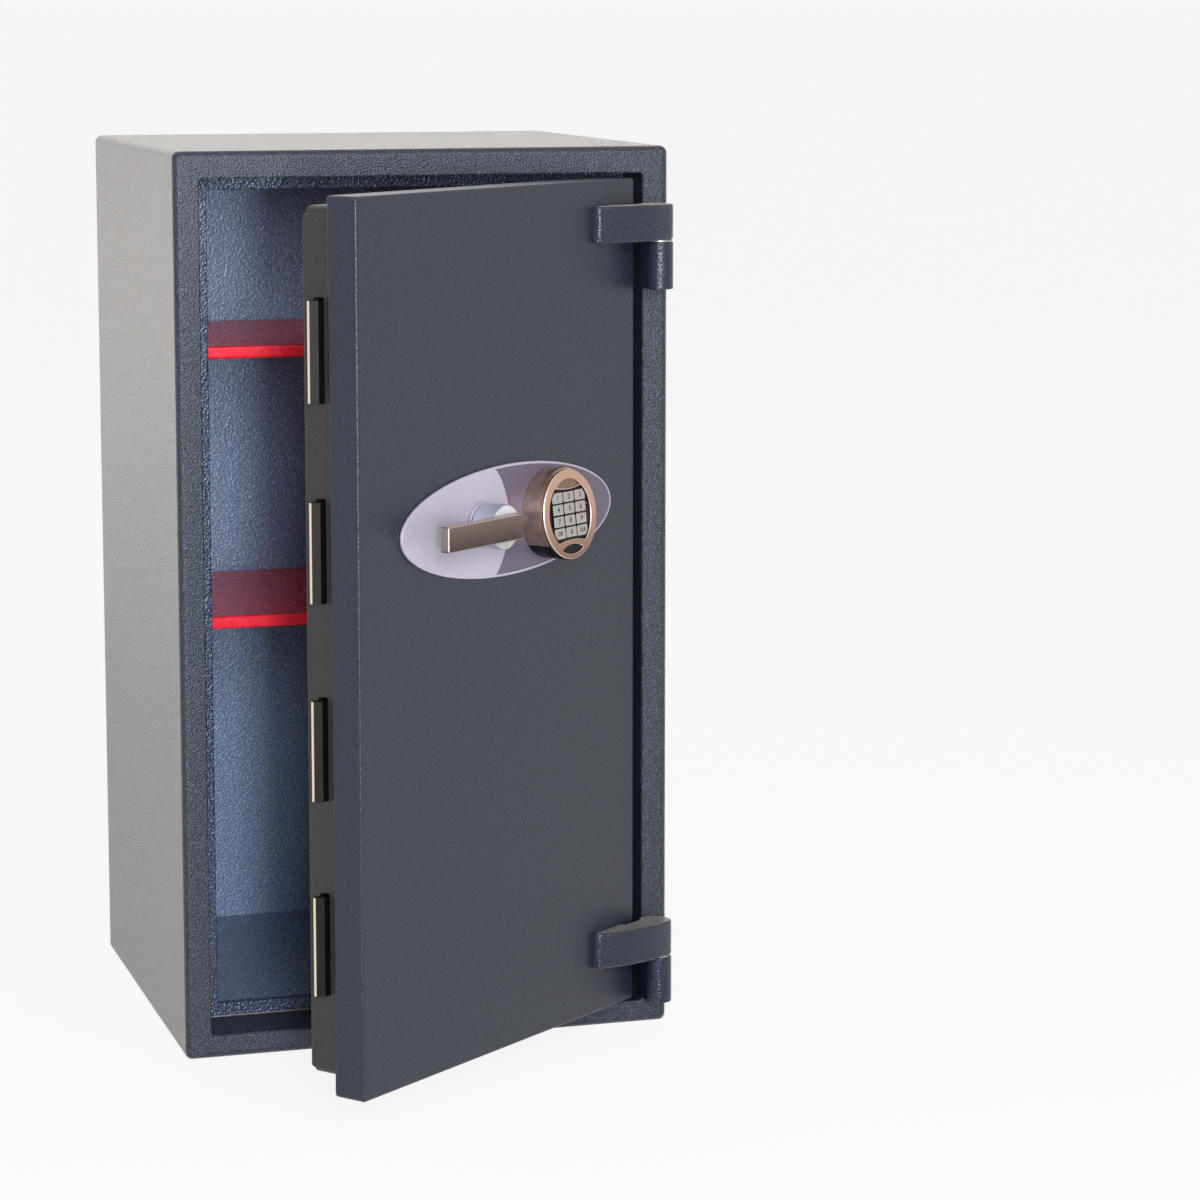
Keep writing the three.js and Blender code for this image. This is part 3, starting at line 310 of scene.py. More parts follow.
case_area = area_of(case_low, case_high)
doorway = (
    liner_low.x - flange_gap, liner_low.z - flange_gap,
    liner_high.x + flange_gap, liner_high.z + flange_gap,
)
sheet_inside = case_low.y + casing_sheet
casing = skin("casing", [
    ring(case_area, casing_sheet, casing_edge, case_high.y - casing_sheet),
    ring(case_area, casing_sheet, casing_edge, sheet_inside),
    ring(doorway, 0, doorway_corner, sheet_inside),
    *reversed(rolled(doorway, doorway_corner, case_low.y, doorway_lip, inwards=-1)),
    *rolled(case_area, casing_edge, case_low.y, casing_edge),
    *reversed(rolled(case_area, casing_edge, case_high.y, casing_edge, depthwise=-1)),
])
anchor = circle(0, case_high.y - anchor_from_back, anchor_radius, drill_steps)
cut(casing, plate("drill", anchor, -casing_edge, casing_edge, plan))
show(casing, case_paint, "case", "graphite_paint", "outer_casing")

# Rebate frame
# The welded frame that the shut door sits in, with slots for the bolts and the fixed dogs. It has
# the casing's coat without its sheen, a shaded copy that keeps the rebate dark as painted shade. It
# keeps its solid, with the edges eased.
sheet_edge = 0.5 * mm
flat_within = math.radians(0.5)


def by_angle():
    """Geometry nodes that shade a mesh smooth and keep its folds sharp."""
    tree = bpy.data.node_groups.new("smooth by angle", "GeometryNodeTree")
    tree.interface.new_socket("Geometry", in_out="INPUT", socket_type="NodeSocketGeometry")
    tree.interface.new_socket("Geometry", in_out="OUTPUT", socket_type="NodeSocketGeometry")
    start = add(tree, "NodeGroupInput", {})
    smooth = add(
        tree, "GeometryNodeSetShadeSmooth", {"Geometry": start.outputs[0], "Shade Smooth": True},
        domain="FACE",
    )
    angle = add(tree, "GeometryNodeInputMeshEdgeAngle", {})
    fold = add(
        tree, "FunctionNodeCompare", {0: angle.outputs["Unsigned Angle"], 1: sharp_fold},
        operation="GREATER_THAN",
    )
    sharp = add(
        tree, "GeometryNodeSetShadeSmooth",
        {"Geometry": smooth.outputs[0], "Selection": fold.outputs[0], "Shade Smooth": False},
        domain="EDGE",
    )
    add(tree, "NodeGroupOutput", {"Geometry": sharp.outputs[0]})
    return tree


smooth_by_angle = by_angle()


def ease(piece, width, segments=2):
    """Rounds a piece's edges by a modifier."""
    eased = piece.modifiers.new("eased", "BEVEL")
    eased.width = width
    eased.segments = segments
    eased.limit_method = "ANGLE"
    eased.angle_limit = sharp_fold


def dress(node, material, edge=0.0):
    """Gives a solid of the frame its finish. Its shading and edges are softened by modifiers."""
    piece = frame["nodes"][node]
    piece.data.materials.clear()
    piece.data.materials.append(material)
    piece.modifiers.new("weld", "WELD").merge_threshold = weld_distance
    flat = piece.modifiers.new("flat", "DECIMATE")
    flat.decimate_type = "DISSOLVE"
    flat.angle_limit = flat_within
    if edge:
        ease(piece, edge)
    piece.modifiers.new("smooth", "NODES").node_group = smooth_by_angle
    piece.modifiers.new("even faces", "WEIGHTED_NORMAL").keep_sharp = True


# No sheen: a shaded copy of the casing's coat, as painted shade in the rebate.
frame_paint = powder_coat(
    "graphite_frame_coat", "#1f222c", "#3c4352",
    grain=1.7 * mm, relief=0.36 * mm, roughness=0.34,
)
dress("rebate_frame", frame_paint, sheet_edge)

# Inner liner
# A box of 2 mm steel, folded and welded: the compartment's walls, roof, floor and back, with a
# front flange. Its blue-grey coat is the most thickly textured one of the safe. Behind the flange
# its tone is drawn lighter than the coat's own, partly its colour and partly painted light on the
# walls and back. The flange is coated over with the casing's graphite, which glints on its lumps.
flange_deep = 8 * mm
flange_edge = 0.8 * mm
# Behind the flange the walls are drawn lighter, partly painted light.
liner_paint = powder_coat(
    "liner_powder_coat", "#2a3244", "#56678c",
    grain=2.2 * mm, relief=0.5 * mm, roughness=0.26,
    inside=(liner_low.y + flange_deep, "#697995", "#a0b2cd"),
)
dress("inner_liner", liner_paint, flange_edge)

# Barrier fill
# Fibre concrete, cast between the casing and the liner and into the door's pan. It is hidden, grey,
# and shows its grit of a few millimetres.
grit = 5 * mm
barrier, tree, place = new_material("cast_fibre_concrete")
stones = add(tree, "ShaderNodeTexVoronoi", {"Vector": place, "Scale": 1 / grit})
blotch = add(
    tree, "ShaderNodeMix",
    {0: stones.outputs["Distance"], 6: linear("#7c7a74"), 7: linear("#a5a29a")}, data_type="RGBA",
)
bump = add(tree, "ShaderNodeBump", {"Height": stones.outputs["Distance"], "Distance": 0.6 * mm})
close(tree, {"Base Color": blotch.outputs[2], "Normal": bump.outputs[0], "Roughness": 0.93})
dress("barrier_fill", barrier)
dress("door_barrier_fill", barrier)

# Anchor plug
# A plug moulded of black ABS, pressed into the hole for the floor bolt. The mould gives it a fine
# matt skin, as it gives the keypad's plastic pieces.
erosion = 0.8 * mm  # the real pits are finer


def grained(name, tone, light, grain, detail, roughness, play, relief, surface, fine=None):
    """A finish whose tone and gloss follow one noise, and its height too, or a finer one."""
    material, tree, place = new_material(name)
    noise = add(
        tree, "ShaderNodeTexNoise", {"Vector": place, "Scale": 1 / grain, "Detail": detail},
    ).outputs["Fac"]
    colour = add(
        tree, "ShaderNodeMix", {0: noise, 6: linear(tone), 7: linear(light)}, data_type="RGBA",
    )
    gloss = add(
        tree, "ShaderNodeMapRange",
        {"Value": noise, "To Min": roughness - play, "To Max": roughness + play},
    )
    if fine:
        noise = add(
            tree, "ShaderNodeTexNoise", {"Vector": place, "Scale": 1 / fine, "Detail": 2.0},
        ).outputs["Fac"]
    bump = add(tree, "ShaderNodeBump", {"Height": noise, "Distance": relief})
    close(tree, {
        "Base Color": colour.outputs[2], "Roughness": gloss.outputs[0], "Normal": bump.outputs[0],
        **surface,
    })
    return material


def moulded(name, tone, light, roughness, relief, shine=0.5):
    """Injection-moulded plastic with the fine even skin of a spark-eroded mould."""
    return grained(
        name, tone, light, grain=erosion, detail=2.0, roughness=roughness, play=0.06,
        relief=relief, surface={"IOR": 1.49, "Specular IOR Level": shine},
    )


black_abs = moulded(
    "moulded_black_abs", "#0a0808", "#120f0e", roughness=0.3, relief=0.02 * mm, shine=0.15,
)
dress("floor_anchor_plug", black_abs)

# Shelves
# Each is one sheet of 1.6 mm steel, its front edge folded down and back under, that lies on its
# rails. The coat is a smooth gloss red, which shows a faint orange peel.
shelf_sheet = 1.6 * mm
shelf_edge = 0.3 * mm
fold_radius = 3 * mm
fold_return = 9 * mm
orange_peel = 7 * mm
shelf_red = grained(
    "gloss_red_powder_coat", "#f01828", "#fb2c42", grain=orange_peel, detail=1.0,
    roughness=0.26, play=0.06, relief=0.08 * mm, surface={"IOR": 1.5},
)


def side(along, up, across):
    return Vector((across, along, up))


def arc(x, z, radius, start, end, steps=corner_steps):
    """Points of an arc, with its angles in quarter turns."""
    turns = [math.tau / 4 * (start + (end - start) * step / steps) for step in range(steps + 1)]
    return [(x + radius * math.cos(turn), z + radius * math.sin(turn)) for turn in turns]


for name in ("shelf_lower", "shelf_upper"):
    low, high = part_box(name)
    fold_y = low.y + fold_radius
    inner = fold_radius - shelf_sheet
    outline = [
        (high.y, high.z),
        *arc(fold_y, high.z - fold_radius, fold_radius, 1, 2),
        *arc(fold_y, low.z + fold_radius, fold_radius, 2, 3),
        (low.y + fold_return, low.z),
        (low.y + fold_return, low.z + shelf_sheet),
        *arc(fold_y, low.z + fold_radius, inner, 3, 2),
        *arc(fold_y, high.z - fold_radius, inner, 2, 1),
        (high.y - shelf_sheet, high.z - shelf_sheet),
        (high.y - shelf_sheet, low.z),
        (high.y, low.z),
    ]
    shelf = plate(name + "_sheet", outline, low.x, high.x, side, edge=shelf_edge)
    show(shelf, shelf_red, "case", "red_paint", name)

# Shelf rails, hinge pins and washers
# Bent angle rails, welded to the liner, and turned pins and washers, all of zinc-plated steel. The
# plating is a cool grey with a soft bloom and a fine grain.
bloom = 9 * mm
plating_grain = 1 * mm  # the real grain is finer
rail_edge = 0.3 * mm
washer_edge = 0.2 * mm


def plated(name, dark, light, roughness):
    """A plated metal: cloudy in tone and gloss, with a fine grain."""
    return grained(
        name, dark, light, grain=bloom, detail=4.0, roughness=roughness, play=0.1,
        relief=0.03 * mm, surface={"Metallic": 1.0}, fine=plating_grain,
    )


zinc = plated("zinc_plated_steel", "#8f9194", "#b4b5b5", roughness=0.4)
for level in ("lower", "upper"):
    for hand in ("left", "right"):
        dress(f"shelf_rail_{level}_{hand}", zinc, rail_edge)
    dress(f"hinge_pin_{level}", zinc)
    dress(f"hinge_washer_{level}", zinc, washer_edge)

# Hinge knuckles
# Forged barrels with a straight back, welded to the case front and painted with it. The coat
# lies thick on them and glints along the round. It is the straps' coat without its sheen, a shaded
# copy that keeps the barrels' flat side dark as painted shade.
door_hinge = next(joint for joint in frame["joints"] if joint["name"] == "door_hinge")
pin = Vector((*door_hinge["pos_m"][:2], 0))
barrel_radius = 13 * mm
knuckle_edge = 1 * mm
# The straps' coat without sheen: a shaded copy, as painted shade on the flat side.
knuckle_paint = powder_coat(
    "graphite_coat_on_knuckle", "#1c1f29", "#2f3750",
    grain=1.6 * mm, relief=0.27 * mm, roughness=0.22,
)
for hinge in ("lower", "upper"):
    low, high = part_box(f"hinge_knuckle_{hinge}")
    outline = [
        (pin.x + barrel_radius, high.y),
        (pin.x - barrel_radius, high.y),
        *arc(pin.x, pin.y, barrel_radius, 2, 4, steps=32),
    ]
    knuckle = plate(f"knuckle_{hinge}", outline, low.z, high.z, plan, edge=knuckle_edge)
    show(knuckle, knuckle_paint, "case", "graphite_paint", f"hinge_knuckle_{hinge}")

# Door slab
# A folded pan of 4 mm steel, its edges rounded, that stands open on the hinge. Every piece of the
# door is drawn with the door shut and then swung open about the pin. Its coat is less raised.
open_angle = math.radians(38)
swing = (
    Matrix.Translation(pin) @ Matrix.Rotation(open_angle, 4, "Z") @ Matrix.Translation(-pin)
)
slab_edge = 2.6 * mm
slab_corner = 4 * mm
slab_sheet = 4 * mm


def room(node, place):
    """Lowest and highest corner of a node of the frame, measured in a turned place."""
    unturn = place.inverted()
    points = [unturn @ corner.co for corner in frame["nodes"][node].data.vertices]
    return (
        Vector([min(point[i] for point in points) for i in range(3)]),
        Vector([max(point[i] for point in points) for i in range(3)]),
    )


door_paint = powder_coat(
    "fine_graphite_powder_coat", "#1f232c", "#2e323e",
    grain=1.6 * mm, relief=0.2 * mm, roughness=0.3,
)
slab_low, slab_high = room("door_skin", swing)
slab_area = area_of(slab_low, slab_high)
slab = skin("slab", [
    ring(slab_area, slab_sheet, slab_corner + slab_sheet, slab_low.y + slab_sheet),
    ring(slab_area, slab_sheet, slab_corner + slab_sheet, slab_high.y),
    *rolled(slab_area, slab_corner, slab_high.y, slab_edge, depthwise=-1),
    *reversed(rolled(slab_area, slab_corner, slab_low.y, slab_edge)),
])
show(slab, door_paint, "door", "graphite_paint", "door_skin", place=swing)

# Door back plate and bolt box
# The steel plate closes the pan behind, and a box folded of 2.5 mm sheet and welded to it holds the
# bolt work. Both have a smoother, darker powder coat, as have the guide and the cover.
box_sheet = 2.5 * mm
box_corner = 8 * mm
box_flange = 16 * mm
slot_over = 0.6 * mm
slot_above = 2.4 * mm
slot_corner = 0.5 * mm
clear = 5 * mm  # how far a cutter stands out of what it cuts
dark_paint = powder_coat(
    "dark_powder_coat", "#282625", "#353332",
    grain=1.8 * mm, relief=0.1 * mm, roughness=0.42,
)
dress("door_back_plate", dark_paint)
box_low, box_high = room("bolt_box", swing)
box_area = area_of(box_low, box_high)
bolt_box = skin("bolt_box_shell", [
    ring(box_area, 0, box_corner, box_low.y),
    ring(box_area, 0, box_corner, box_high.y),
    ring(box_area, box_sheet + box_flange, box_corner + box_flange, box_high.y),
    ring(box_area, box_sheet + box_flange, box_corner + box_flange, box_high.y - box_sheet),
    ring(box_area, box_sheet, box_corner, box_high.y - box_sheet),
    ring(box_area, box_sheet, box_corner, box_low.y),
], closed=True)
numbers = range(1, 5)  # of the four bolts, and of the cover's four screws


def bolt_slots(low_x, high_x):
    """Cutting blocks for the four slots that the bolts slide in."""
    blocks = []
    for number in numbers:
        low, high = room(f"bolt_{number}", swing)
        outline = rounded(
            low.y - slot_over, low.z - slot_over,
            high.y + slot_over, high.z + slot_above, slot_corner,
        )
        blocks.append(plate("slot", outline, low_x, high_x, side))
    return blocks


cut(bolt_box, *bolt_slots(box_low.x - clear, box_low.x + clear))
show(bolt_box, dark_paint, "door", "dark_paint", "bolt_box", place=swing)

# Bolt guide
# A steel channel, screwed to the box along the free edge of the door. The bolts slide through its
# slots. Its coat is the box's.
guide_corner = 3.5 * mm
guide_edge = 1.2 * mm
guide_low, guide_high = room("bolt_guide", swing)
outline = rounded(guide_low.y, guide_low.z, guide_high.y, guide_high.z, guide_corner)
guide = plate("guide", outline, guide_low.x, guide_high.x, side, edge=guide_edge)
cut(guide, *bolt_slots(guide_low.x - clear, guide_high.x + clear))
show(guide, dark_paint, "door", "dark_paint", "bolt_guide", place=swing)

# Rear cover
# A 2 mm steel sheet, held on the box's flange by four countersunk screws of zinc-plated steel. Its
# coat is the box's.
cover_edge = 0.6 * mm
sink_radius = 4.9 * mm
sink_over = 1 * mm
cover_low, cover_high = room("rear_cover", swing)
cover = plate(
    "cover", rounded(*area_of(cover_low, cover_high), box_corner), cover_low.y, cover_high.y,
    edge=cover_edge,
)
sinks = []
for number in numbers:
    low, high = room(f"cover_screw_{number}", swing)
    middle = (low + high) / 2
    outline = circle(middle.x, middle.z, sink_radius, drill_steps)
    sinks.append(plate("sink", outline, cover_low.y - sink_over, cover_high.y + sink_over))
    dress(f"cover_screw_{number}", zinc)
cut(cover, *sinks)
show(cover, dark_paint, "door", "dark_paint", "rear_cover", place=swing)

# Bolts, dogs and lock
# The bolts are flat blades of hardened steel, blacked and oiled, with a long bevel and a narrow end
# that is painted pale, a painted highlight. The hinge side's fixed dogs and the lock's swing bolt
# are blacked too, their ends painted lighter in the same way, and the carriage, the spindle and the
# lock case are zinc-plated.
oil_film = 14 * mm
bolt_end = 2.6 * mm
bolt_bevel = 5 * mm
bolt_back_edge = 1.2 * mm
bolt_edge = 0.4 * mm
dog_edge = 0.5 * mm
carriage_edge = 0.3 * mm
spindle_edge = 0.2 * mm
lock_edge = 0.4 * mm


def facing(tree, axis, turn=0.0):
    """How squarely a surface faces along an axis, 0 to 1, in a piece turned about its upright."""
    lean = add(tree, "ShaderNodeTexCoord", {}).outputs["Normal"]
    straight = add(
        tree, "ShaderNodeVectorRotate", {"Vector": lean, "Angle": -turn}, rotation_type="Z_AXIS",
    )
    size = add(tree, "ShaderNodeVectorMath", {0: straight.outputs[0]}, operation="ABSOLUTE")
    return add(tree, "ShaderNodeSeparateXYZ", {"Vector": size.outputs[0]}).outputs[axis]


def blacked(name, highlight_tone, turn=0.0):
    """Oil-blacked steel, its end faces painted another tone, a painted highlight."""
    material, tree, place = new_material(name)
    film = add(tree, "ShaderNodeTexNoise", {"Vector": place, "Scale": 1 / oil_film, "Detail": 5.0})
    black = add(
        tree, "ShaderNodeMix",
        {0: film.outputs["Fac"], 6: linear("#0b0a09"), 7: linear("#1f1d1b")}, data_type="RGBA",
    )
    # Painted highlight: the faces that face along X take the pale end tone.
    painted_end_highlight = add(
        tree, "ShaderNodeMapRange",
        {"Value": facing(tree, "X", turn), "From Min": 0.9, "From Max": 0.98},
    )
    gloss = add(
        tree, "ShaderNodeMapRange", {"Value": film.outputs["Fac"], "To Min": 0.34, "To Max": 0.54},
    )
    bump = add(tree, "ShaderNodeBump", {"Height": film.outputs["Fac"], "Distance": 0.1 * mm})
    colour = add(
        tree, "ShaderNodeMix", {0: painted_end_highlight.outputs[0], 6: black.outputs[2], 7: linear(highlight_tone)},
        data_type="RGBA",
    )
    close(tree, {
        "Base Color": colour.outputs[2], "Roughness": gloss.outputs[0], "Normal": bump.outputs[0],
        "Metallic": 0.85,
    })
    return material


# The bolts' pale ends are a painted highlight.
bolt_steel = blacked("blacked_hardened_steel", "#e6d2bd")
for number in numbers:
    low, high = room(f"bolt_{number}", swing)
    outline = [
        (low.x + bolt_bevel, low.y),
        (low.x, high.y - bolt_back_edge - bolt_end),
        (low.x, high.y - bolt_back_edge),
        (low.x + bolt_back_edge, high.y),
        (high.x, high.y),
        (high.x, low.y),
    ]
    blade = plate(f"blade_{number}", outline, low.z, high.z, plan, edge=bolt_edge)
    show(blade, bolt_steel, "bolt_carriage", "black_steel", f"bolt_{number}", place=swing)
# The dogs' and the lock bolt's ends are drawn lighter by the same painted highlight.
black_steel = blacked("blacked_mild_steel", "#57514b", open_angle)
dress("hinge_side_dogs", black_steel, dog_edge)
dress("bolt_carriage", zinc, carriage_edge)
dress("handle_spindle", zinc, spindle_edge)
dress("lock_case", zinc, lock_edge)
dress("lock_bolt", black_steel, lock_edge)

# Hinge straps
# Forged steel straps that reach from the pin over the door's edge and lie on its face, welded there
# and painted with it. The coat is as thick as on the knuckles.
seat = 0.3 * mm  # between pieces that touch
strap_reach = 85.5 * mm
strap_tip = 6 * mm
strap_heel = 19 * mm
strap_bridge = 5.5 * mm
strap_seat_start = 35 * mm
strap_seat_slope = 2 * mm
strap_edge = 2.2 * mm
tip_round = 5 * mm
strap_face = slab_low.y - seat
strap_drop = slab_low.y - pin.y + barrel_radius - strap_tip
strap_bow = (strap_reach**2 + strap_drop**2) / (2 * strap_drop)
strap_turn = math.asin((strap_reach - tip_round) / strap_bow) / (math.tau / 4)
strap_paint = powder_coat(
    "graphite_coat_on_strap", "#1c1f29", "#2f3750",
    grain=1.6 * mm, relief=0.27 * mm, roughness=0.22, sheen=0.4,
)
quarter_turn = [math.tau / 4 * step / corner_steps for step in range(corner_steps + 1)]
for hinge in ("lower", "upper"):
    low, high = room(f"hinge_strap_{hinge}", swing)
    heel = [
        (pin.x + barrel_radius * math.cos(turn), pin.y + strap_heel * math.sin(turn))
        for turn in quarter_turn[1:]
    ]
    bow = arc(pin.x, pin.y - barrel_radius + strap_bow, strap_bow, 3 - strap_turn, 3, steps=24)
    tip_x = pin.x - strap_reach
    tip_deep = bow[0][1] - strap_face
    tip = [
        (tip_x + tip_round * (1 - math.cos(turn)), strap_face + tip_deep * math.sin(turn))
        for turn in quarter_turn[:-1]
    ]
    outline = [
        *tip,
        *bow,
        *arc(pin.x, pin.y, barrel_radius, 3, 4, steps=14)[1:],
        *heel,
        (pin.x - barrel_radius / 2, pin.y + strap_heel),
        (pin.x - barrel_radius * 0.75, slab_low.y - strap_bridge),
        (pin.x - strap_seat_start, slab_low.y - strap_bridge),
        (pin.x - strap_seat_start - strap_seat_slope, strap_face),
    ]
    strap = plate(f"strap_{hinge}", outline, low.z, high.z, plan, edge=strap_edge)
    show(strap, strap_paint, "door", "graphite_paint", f"hinge_strap_{hinge}", place=swing)

# Escutcheon
# An oval plate of aluminium, matt etched and anodised, with a darker inlay to the right of an arc
# and a light rim round the inlay. The oxide scatters, so the metal mirrors only in part.
plate_edge = 0.8 * mm
rim_width = 2.3 * mm
inlay_gap = 0.15 * mm
inlay_edge = 0.15 * mm
inlay_seat = 1.1 * mm
arc_radius = 70.5 * mm
arc_from_edge = 150 * mm
oval_steps = 192
inlay_steps = 120
search_steps = 1000
etch_grain = 1.1 * mm  # the real etch is finer
plate_low, plate_high = room("escutcheon", swing)
plate_middle = (plate_low + plate_high) / 2
half_width = (plate_high.x - plate_low.x) / 2
half_height = (plate_high.z - plate_low.z) / 2
arc_x = slab_low.x + arc_from_edge


def on_oval(turn, inset=0.0):
    """The point at an angle of the oval that lies `inset` inside the plate's outline."""
    return (
        plate_middle.x + (half_width - inset) * math.cos(turn),
        plate_middle.z + (half_height - inset) * math.sin(turn),
    )


def inlay_outline(shrink):
    """The oval's part to the right of the arc, inside the rim."""
    inset = rim_width + shrink
    reach = arc_radius + shrink
    middle = (arc_x, plate_middle.z)
    turns = [math.pi * step / search_steps for step in range(search_steps)]
    meeting = next(turn for turn in turns if math.dist(on_oval(turn, inset), middle) <= reach)
    right = [
        on_oval(meeting * (2 * step / inlay_steps - 1), inset) for step in range(inlay_steps + 1)
    ]
    top = math.asin((right[-1][1] - plate_middle.z) / reach) / (math.tau / 4)
    return right + arc(*middle, reach, top, -top, steps=40)[1:-1]


def anodised(name, tone, light):
    """Satin anodised aluminium: matt etched, with a very fine sparkle."""
    return grained(
        name, tone, light, grain=etch_grain, detail=3.0, roughness=0.46, play=0.07,
        relief=0.02 * mm, surface={"Metallic": 0.3},
    )


silver_anodised = anodised("silver_anodised_aluminium", "#aaa1ab", "#bbb2bd")
dark_anodised = anodised("grey_anodised_aluminium", "#5b515e", "#6c6270")
outline = [on_oval(math.tau * step / oval_steps) for step in range(oval_steps)]
escutcheon = plate("oval_plate", outline, plate_low.y, plate_high.y, edge=plate_edge)
cut(escutcheon, plate("bed", inlay_outline(0), plate_low.y - clear, plate_low.y + inlay_seat))
show(escutcheon, silver_anodised, "door", "silver_plate", "escutcheon", place=swing)
inlay_low, inlay_high = room("escutcheon_inlay", swing)
inlay = plate("inlay", inlay_outline(inlay_gap), inlay_low.y, inlay_high.y, edge=inlay_edge)
show(inlay, dark_anodised, "door", "dark_inlay", "escutcheon_inlay", place=swing)

# Handle
# A turned hub of satin chromed brass on an anodised rose, and a flat lever of brushed stainless
# steel that lies in the hub's face. The lever's grain runs across it. Its rims are painted pale, a
# painted highlight, and its face dark, partly its own tone and partly a painted reflection. Both
# are painted darker low down and lighter high up, a painted shading, and the hub's side is painted
# blue-grey, a painted reflection.
rose_edge = 0.8 * mm
hub_edge = 1.6 * mm
lever_edge = 1.1 * mm
lever_corner = 2 * mm
lever_gap = 0.3 * mm
grain_width = 0.5 * mm  # the real scratches are finer
grain_length = 20 * mm
handle_low, handle_high = room("handle_hub", swing)
handle = (handle_low + handle_high) / 2
lever_low, lever_high = room("handle_lever", swing)


def brushed(name, shaded_and_lit_tones, painted_side_tone, roughness, along, low, high, metal):
    """Brushed metal, its scratches drawn along one axis.

    The front has painted shade low down and painted light high up; the sides' tone is painted too.
    """
    material, tree, place = new_material(name)
    stretch = [1 if axis == along else grain_length / grain_width for axis in "XYZ"]
    drawn = add(tree, "ShaderNodeMapping", {"Vector": place, "Scale": stretch})
    lines = add(
        tree, "ShaderNodeTexNoise",
        {"Vector": drawn.outputs[0], "Scale": 1 / grain_length, "Detail": 4.0},
    )
    parts = add(tree, "ShaderNodeSeparateXYZ", {"Vector": place})
    # Painted shading: the front is drawn darker low down and lighter high up.
    painted_shading = add(tree, "ShaderNodeMapRange", {
        "Value": parts.outputs["Z"], "From Min": low.z, "From Max": high.z,
        "To Min": -0.4, "To Max": 0.4,
    })
    share = add(
        tree, "ShaderNodeMath", {0: lines.outputs["Fac"], 1: painted_shading.outputs[0]}, operation="ADD",
    )
    shaded_tone, lit_tone = shaded_and_lit_tones
    face = add(
        tree, "ShaderNodeMix", {0: share.outputs[0], 6: linear(shaded_tone), 7: linear(lit_tone)},
        data_type="RGBA",
    )
    # The sides' tone is painted: a highlight on the lever's rims, a reflection on the hub's side.
    ahead = add(
        tree, "ShaderNodeMapRange",
        {"Value": facing(tree, "Y"), "From Min": 0.85, "From Max": 0.99},
    )
    colour = add(
        tree, "ShaderNodeMix", {0: ahead.outputs[0], 6: linear(painted_side_tone), 7: face.outputs[2]},
        data_type="RGBA",
    )
    gloss = add(
        tree, "ShaderNodeMapRange",
        {"Value": lines.outputs["Fac"], "To Min": roughness - 0.1, "To Max": roughness + 0.1},
    )
    bump = add(tree, "ShaderNodeBump", {"Height": lines.outputs["Fac"], "Distance": 0.03 * mm})
    close(tree, {
        "Base Color": colour.outputs[2], "Roughness": gloss.outputs[0], "Normal": bump.outputs[0],
        "Metallic": metal,
    })
    return material


# The hub's blue-grey side is a painted reflection.
hub_chrome = brushed(
    "satin_chromed_brass", ("#b0abaa", "#e0dcd9"), "#b4b6c2",
    roughness=0.44, along="Y", low=handle_low, high=handle_high, metal=0.65,
)
# The lever's pale rims are a painted highlight, and its dark face is partly a painted reflection.
lever_steel = brushed(
    "brushed_stainless_steel", ("#4a3d3b", "#86736e"), "#cdbdb5",
    roughness=0.36, along="Z", low=lever_low, high=lever_high, metal=1.0,
)
rose_low, rose_high = room("handle_rose", swing)
rose_radius = (rose_high.x - rose_low.x) / 2
rose = plate(
    "rose", circle(handle.x, handle.z, rose_radius), rose_low.y, rose_high.y, edge=rose_edge,
)
show(rose, silver_anodised, "door", "satin_chrome", "handle_rose", place=swing)
hub_radius = (handle_high.x - handle_low.x) / 2
hub = plate(
    "hub", circle(handle.x, handle.z, hub_radius), handle_low.y, handle_high.y, edge=hub_edge,
)
outline = rounded(
    handle_low.x - hub_radius, lever_low.z - lever_gap,
    lever_high.x + lever_gap, lever_high.z + lever_gap, lever_gap,
)
cut(hub, plate("groove", outline, lever_low.y - clear, lever_high.y + lever_gap))
show(hub, hub_chrome, "handle", "satin_chrome", "handle_hub", place=swing)
lever = plate(
    "lever", rounded(*area_of(lever_low, lever_high), lever_corner), lever_low.y, lever_high.y,
    edge=lever_edge,
)
show(lever, lever_steel, "handle", "lever_steel", "handle_lever", place=swing)

# Keypad housing and battery drawer
# A die-cast drum, nickel-bronze plated, whose face slopes back. A plastic drawer for the battery
# slides down out of its lowest part, with a groove for the finger below.
tilt = math.radians(6)
face_sheet = 4 * mm
housing_wall = 3 * mm
battery_chord = 27.5 * mm
drawer_gap = 0.3 * mm
drawer_inset = 0.2 * mm
grip_half_width = 10 * mm
grip_from_plate = 12 * mm
grip_width = 4 * mm
grip_deep = 1 * mm
housing_low, housing_high = room("keypad_housing", swing)
housing_radius = (housing_high.x - housing_low.x) / 2
keypad_x = (housing_low.x + housing_high.x) / 2
lean = swing @ Matrix.Rotation(-tilt, 4, "X")
ring_low, ring_high = room("keypad_face", lean)
ring_middle = (ring_low + ring_high) / 2
face_place = lean @ Matrix.Translation((ring_middle.x, ring_low.y, ring_middle.z))
face_origin = swing.inverted() @ face_place.translation


def slope(z, behind):
    """Depth of the sloping plane that lies `behind` the face's front, at a height."""
    up = z - face_origin.z + behind * math.sin(tilt)
    return face_origin.y + behind * math.cos(tilt) + up * math.tan(tilt)


def segment(radius, chord, above, steps=72):
    """The part of a circle above or below a chord that lies under its middle."""
    dip = math.asin(chord / radius) / (math.tau / 4)
    start, end = (-dip, 2 + dip) if above else (2 + dip, 4 - dip)
    return arc(keypad_x, handle.z, radius, start, end, steps)


def at_slope(outline, behind):
    return [front(x, z, slope(z, behind)) for x, z in outline]


def at_depth(outline, y):
    return [front(x, z, y) for x, z in outline]


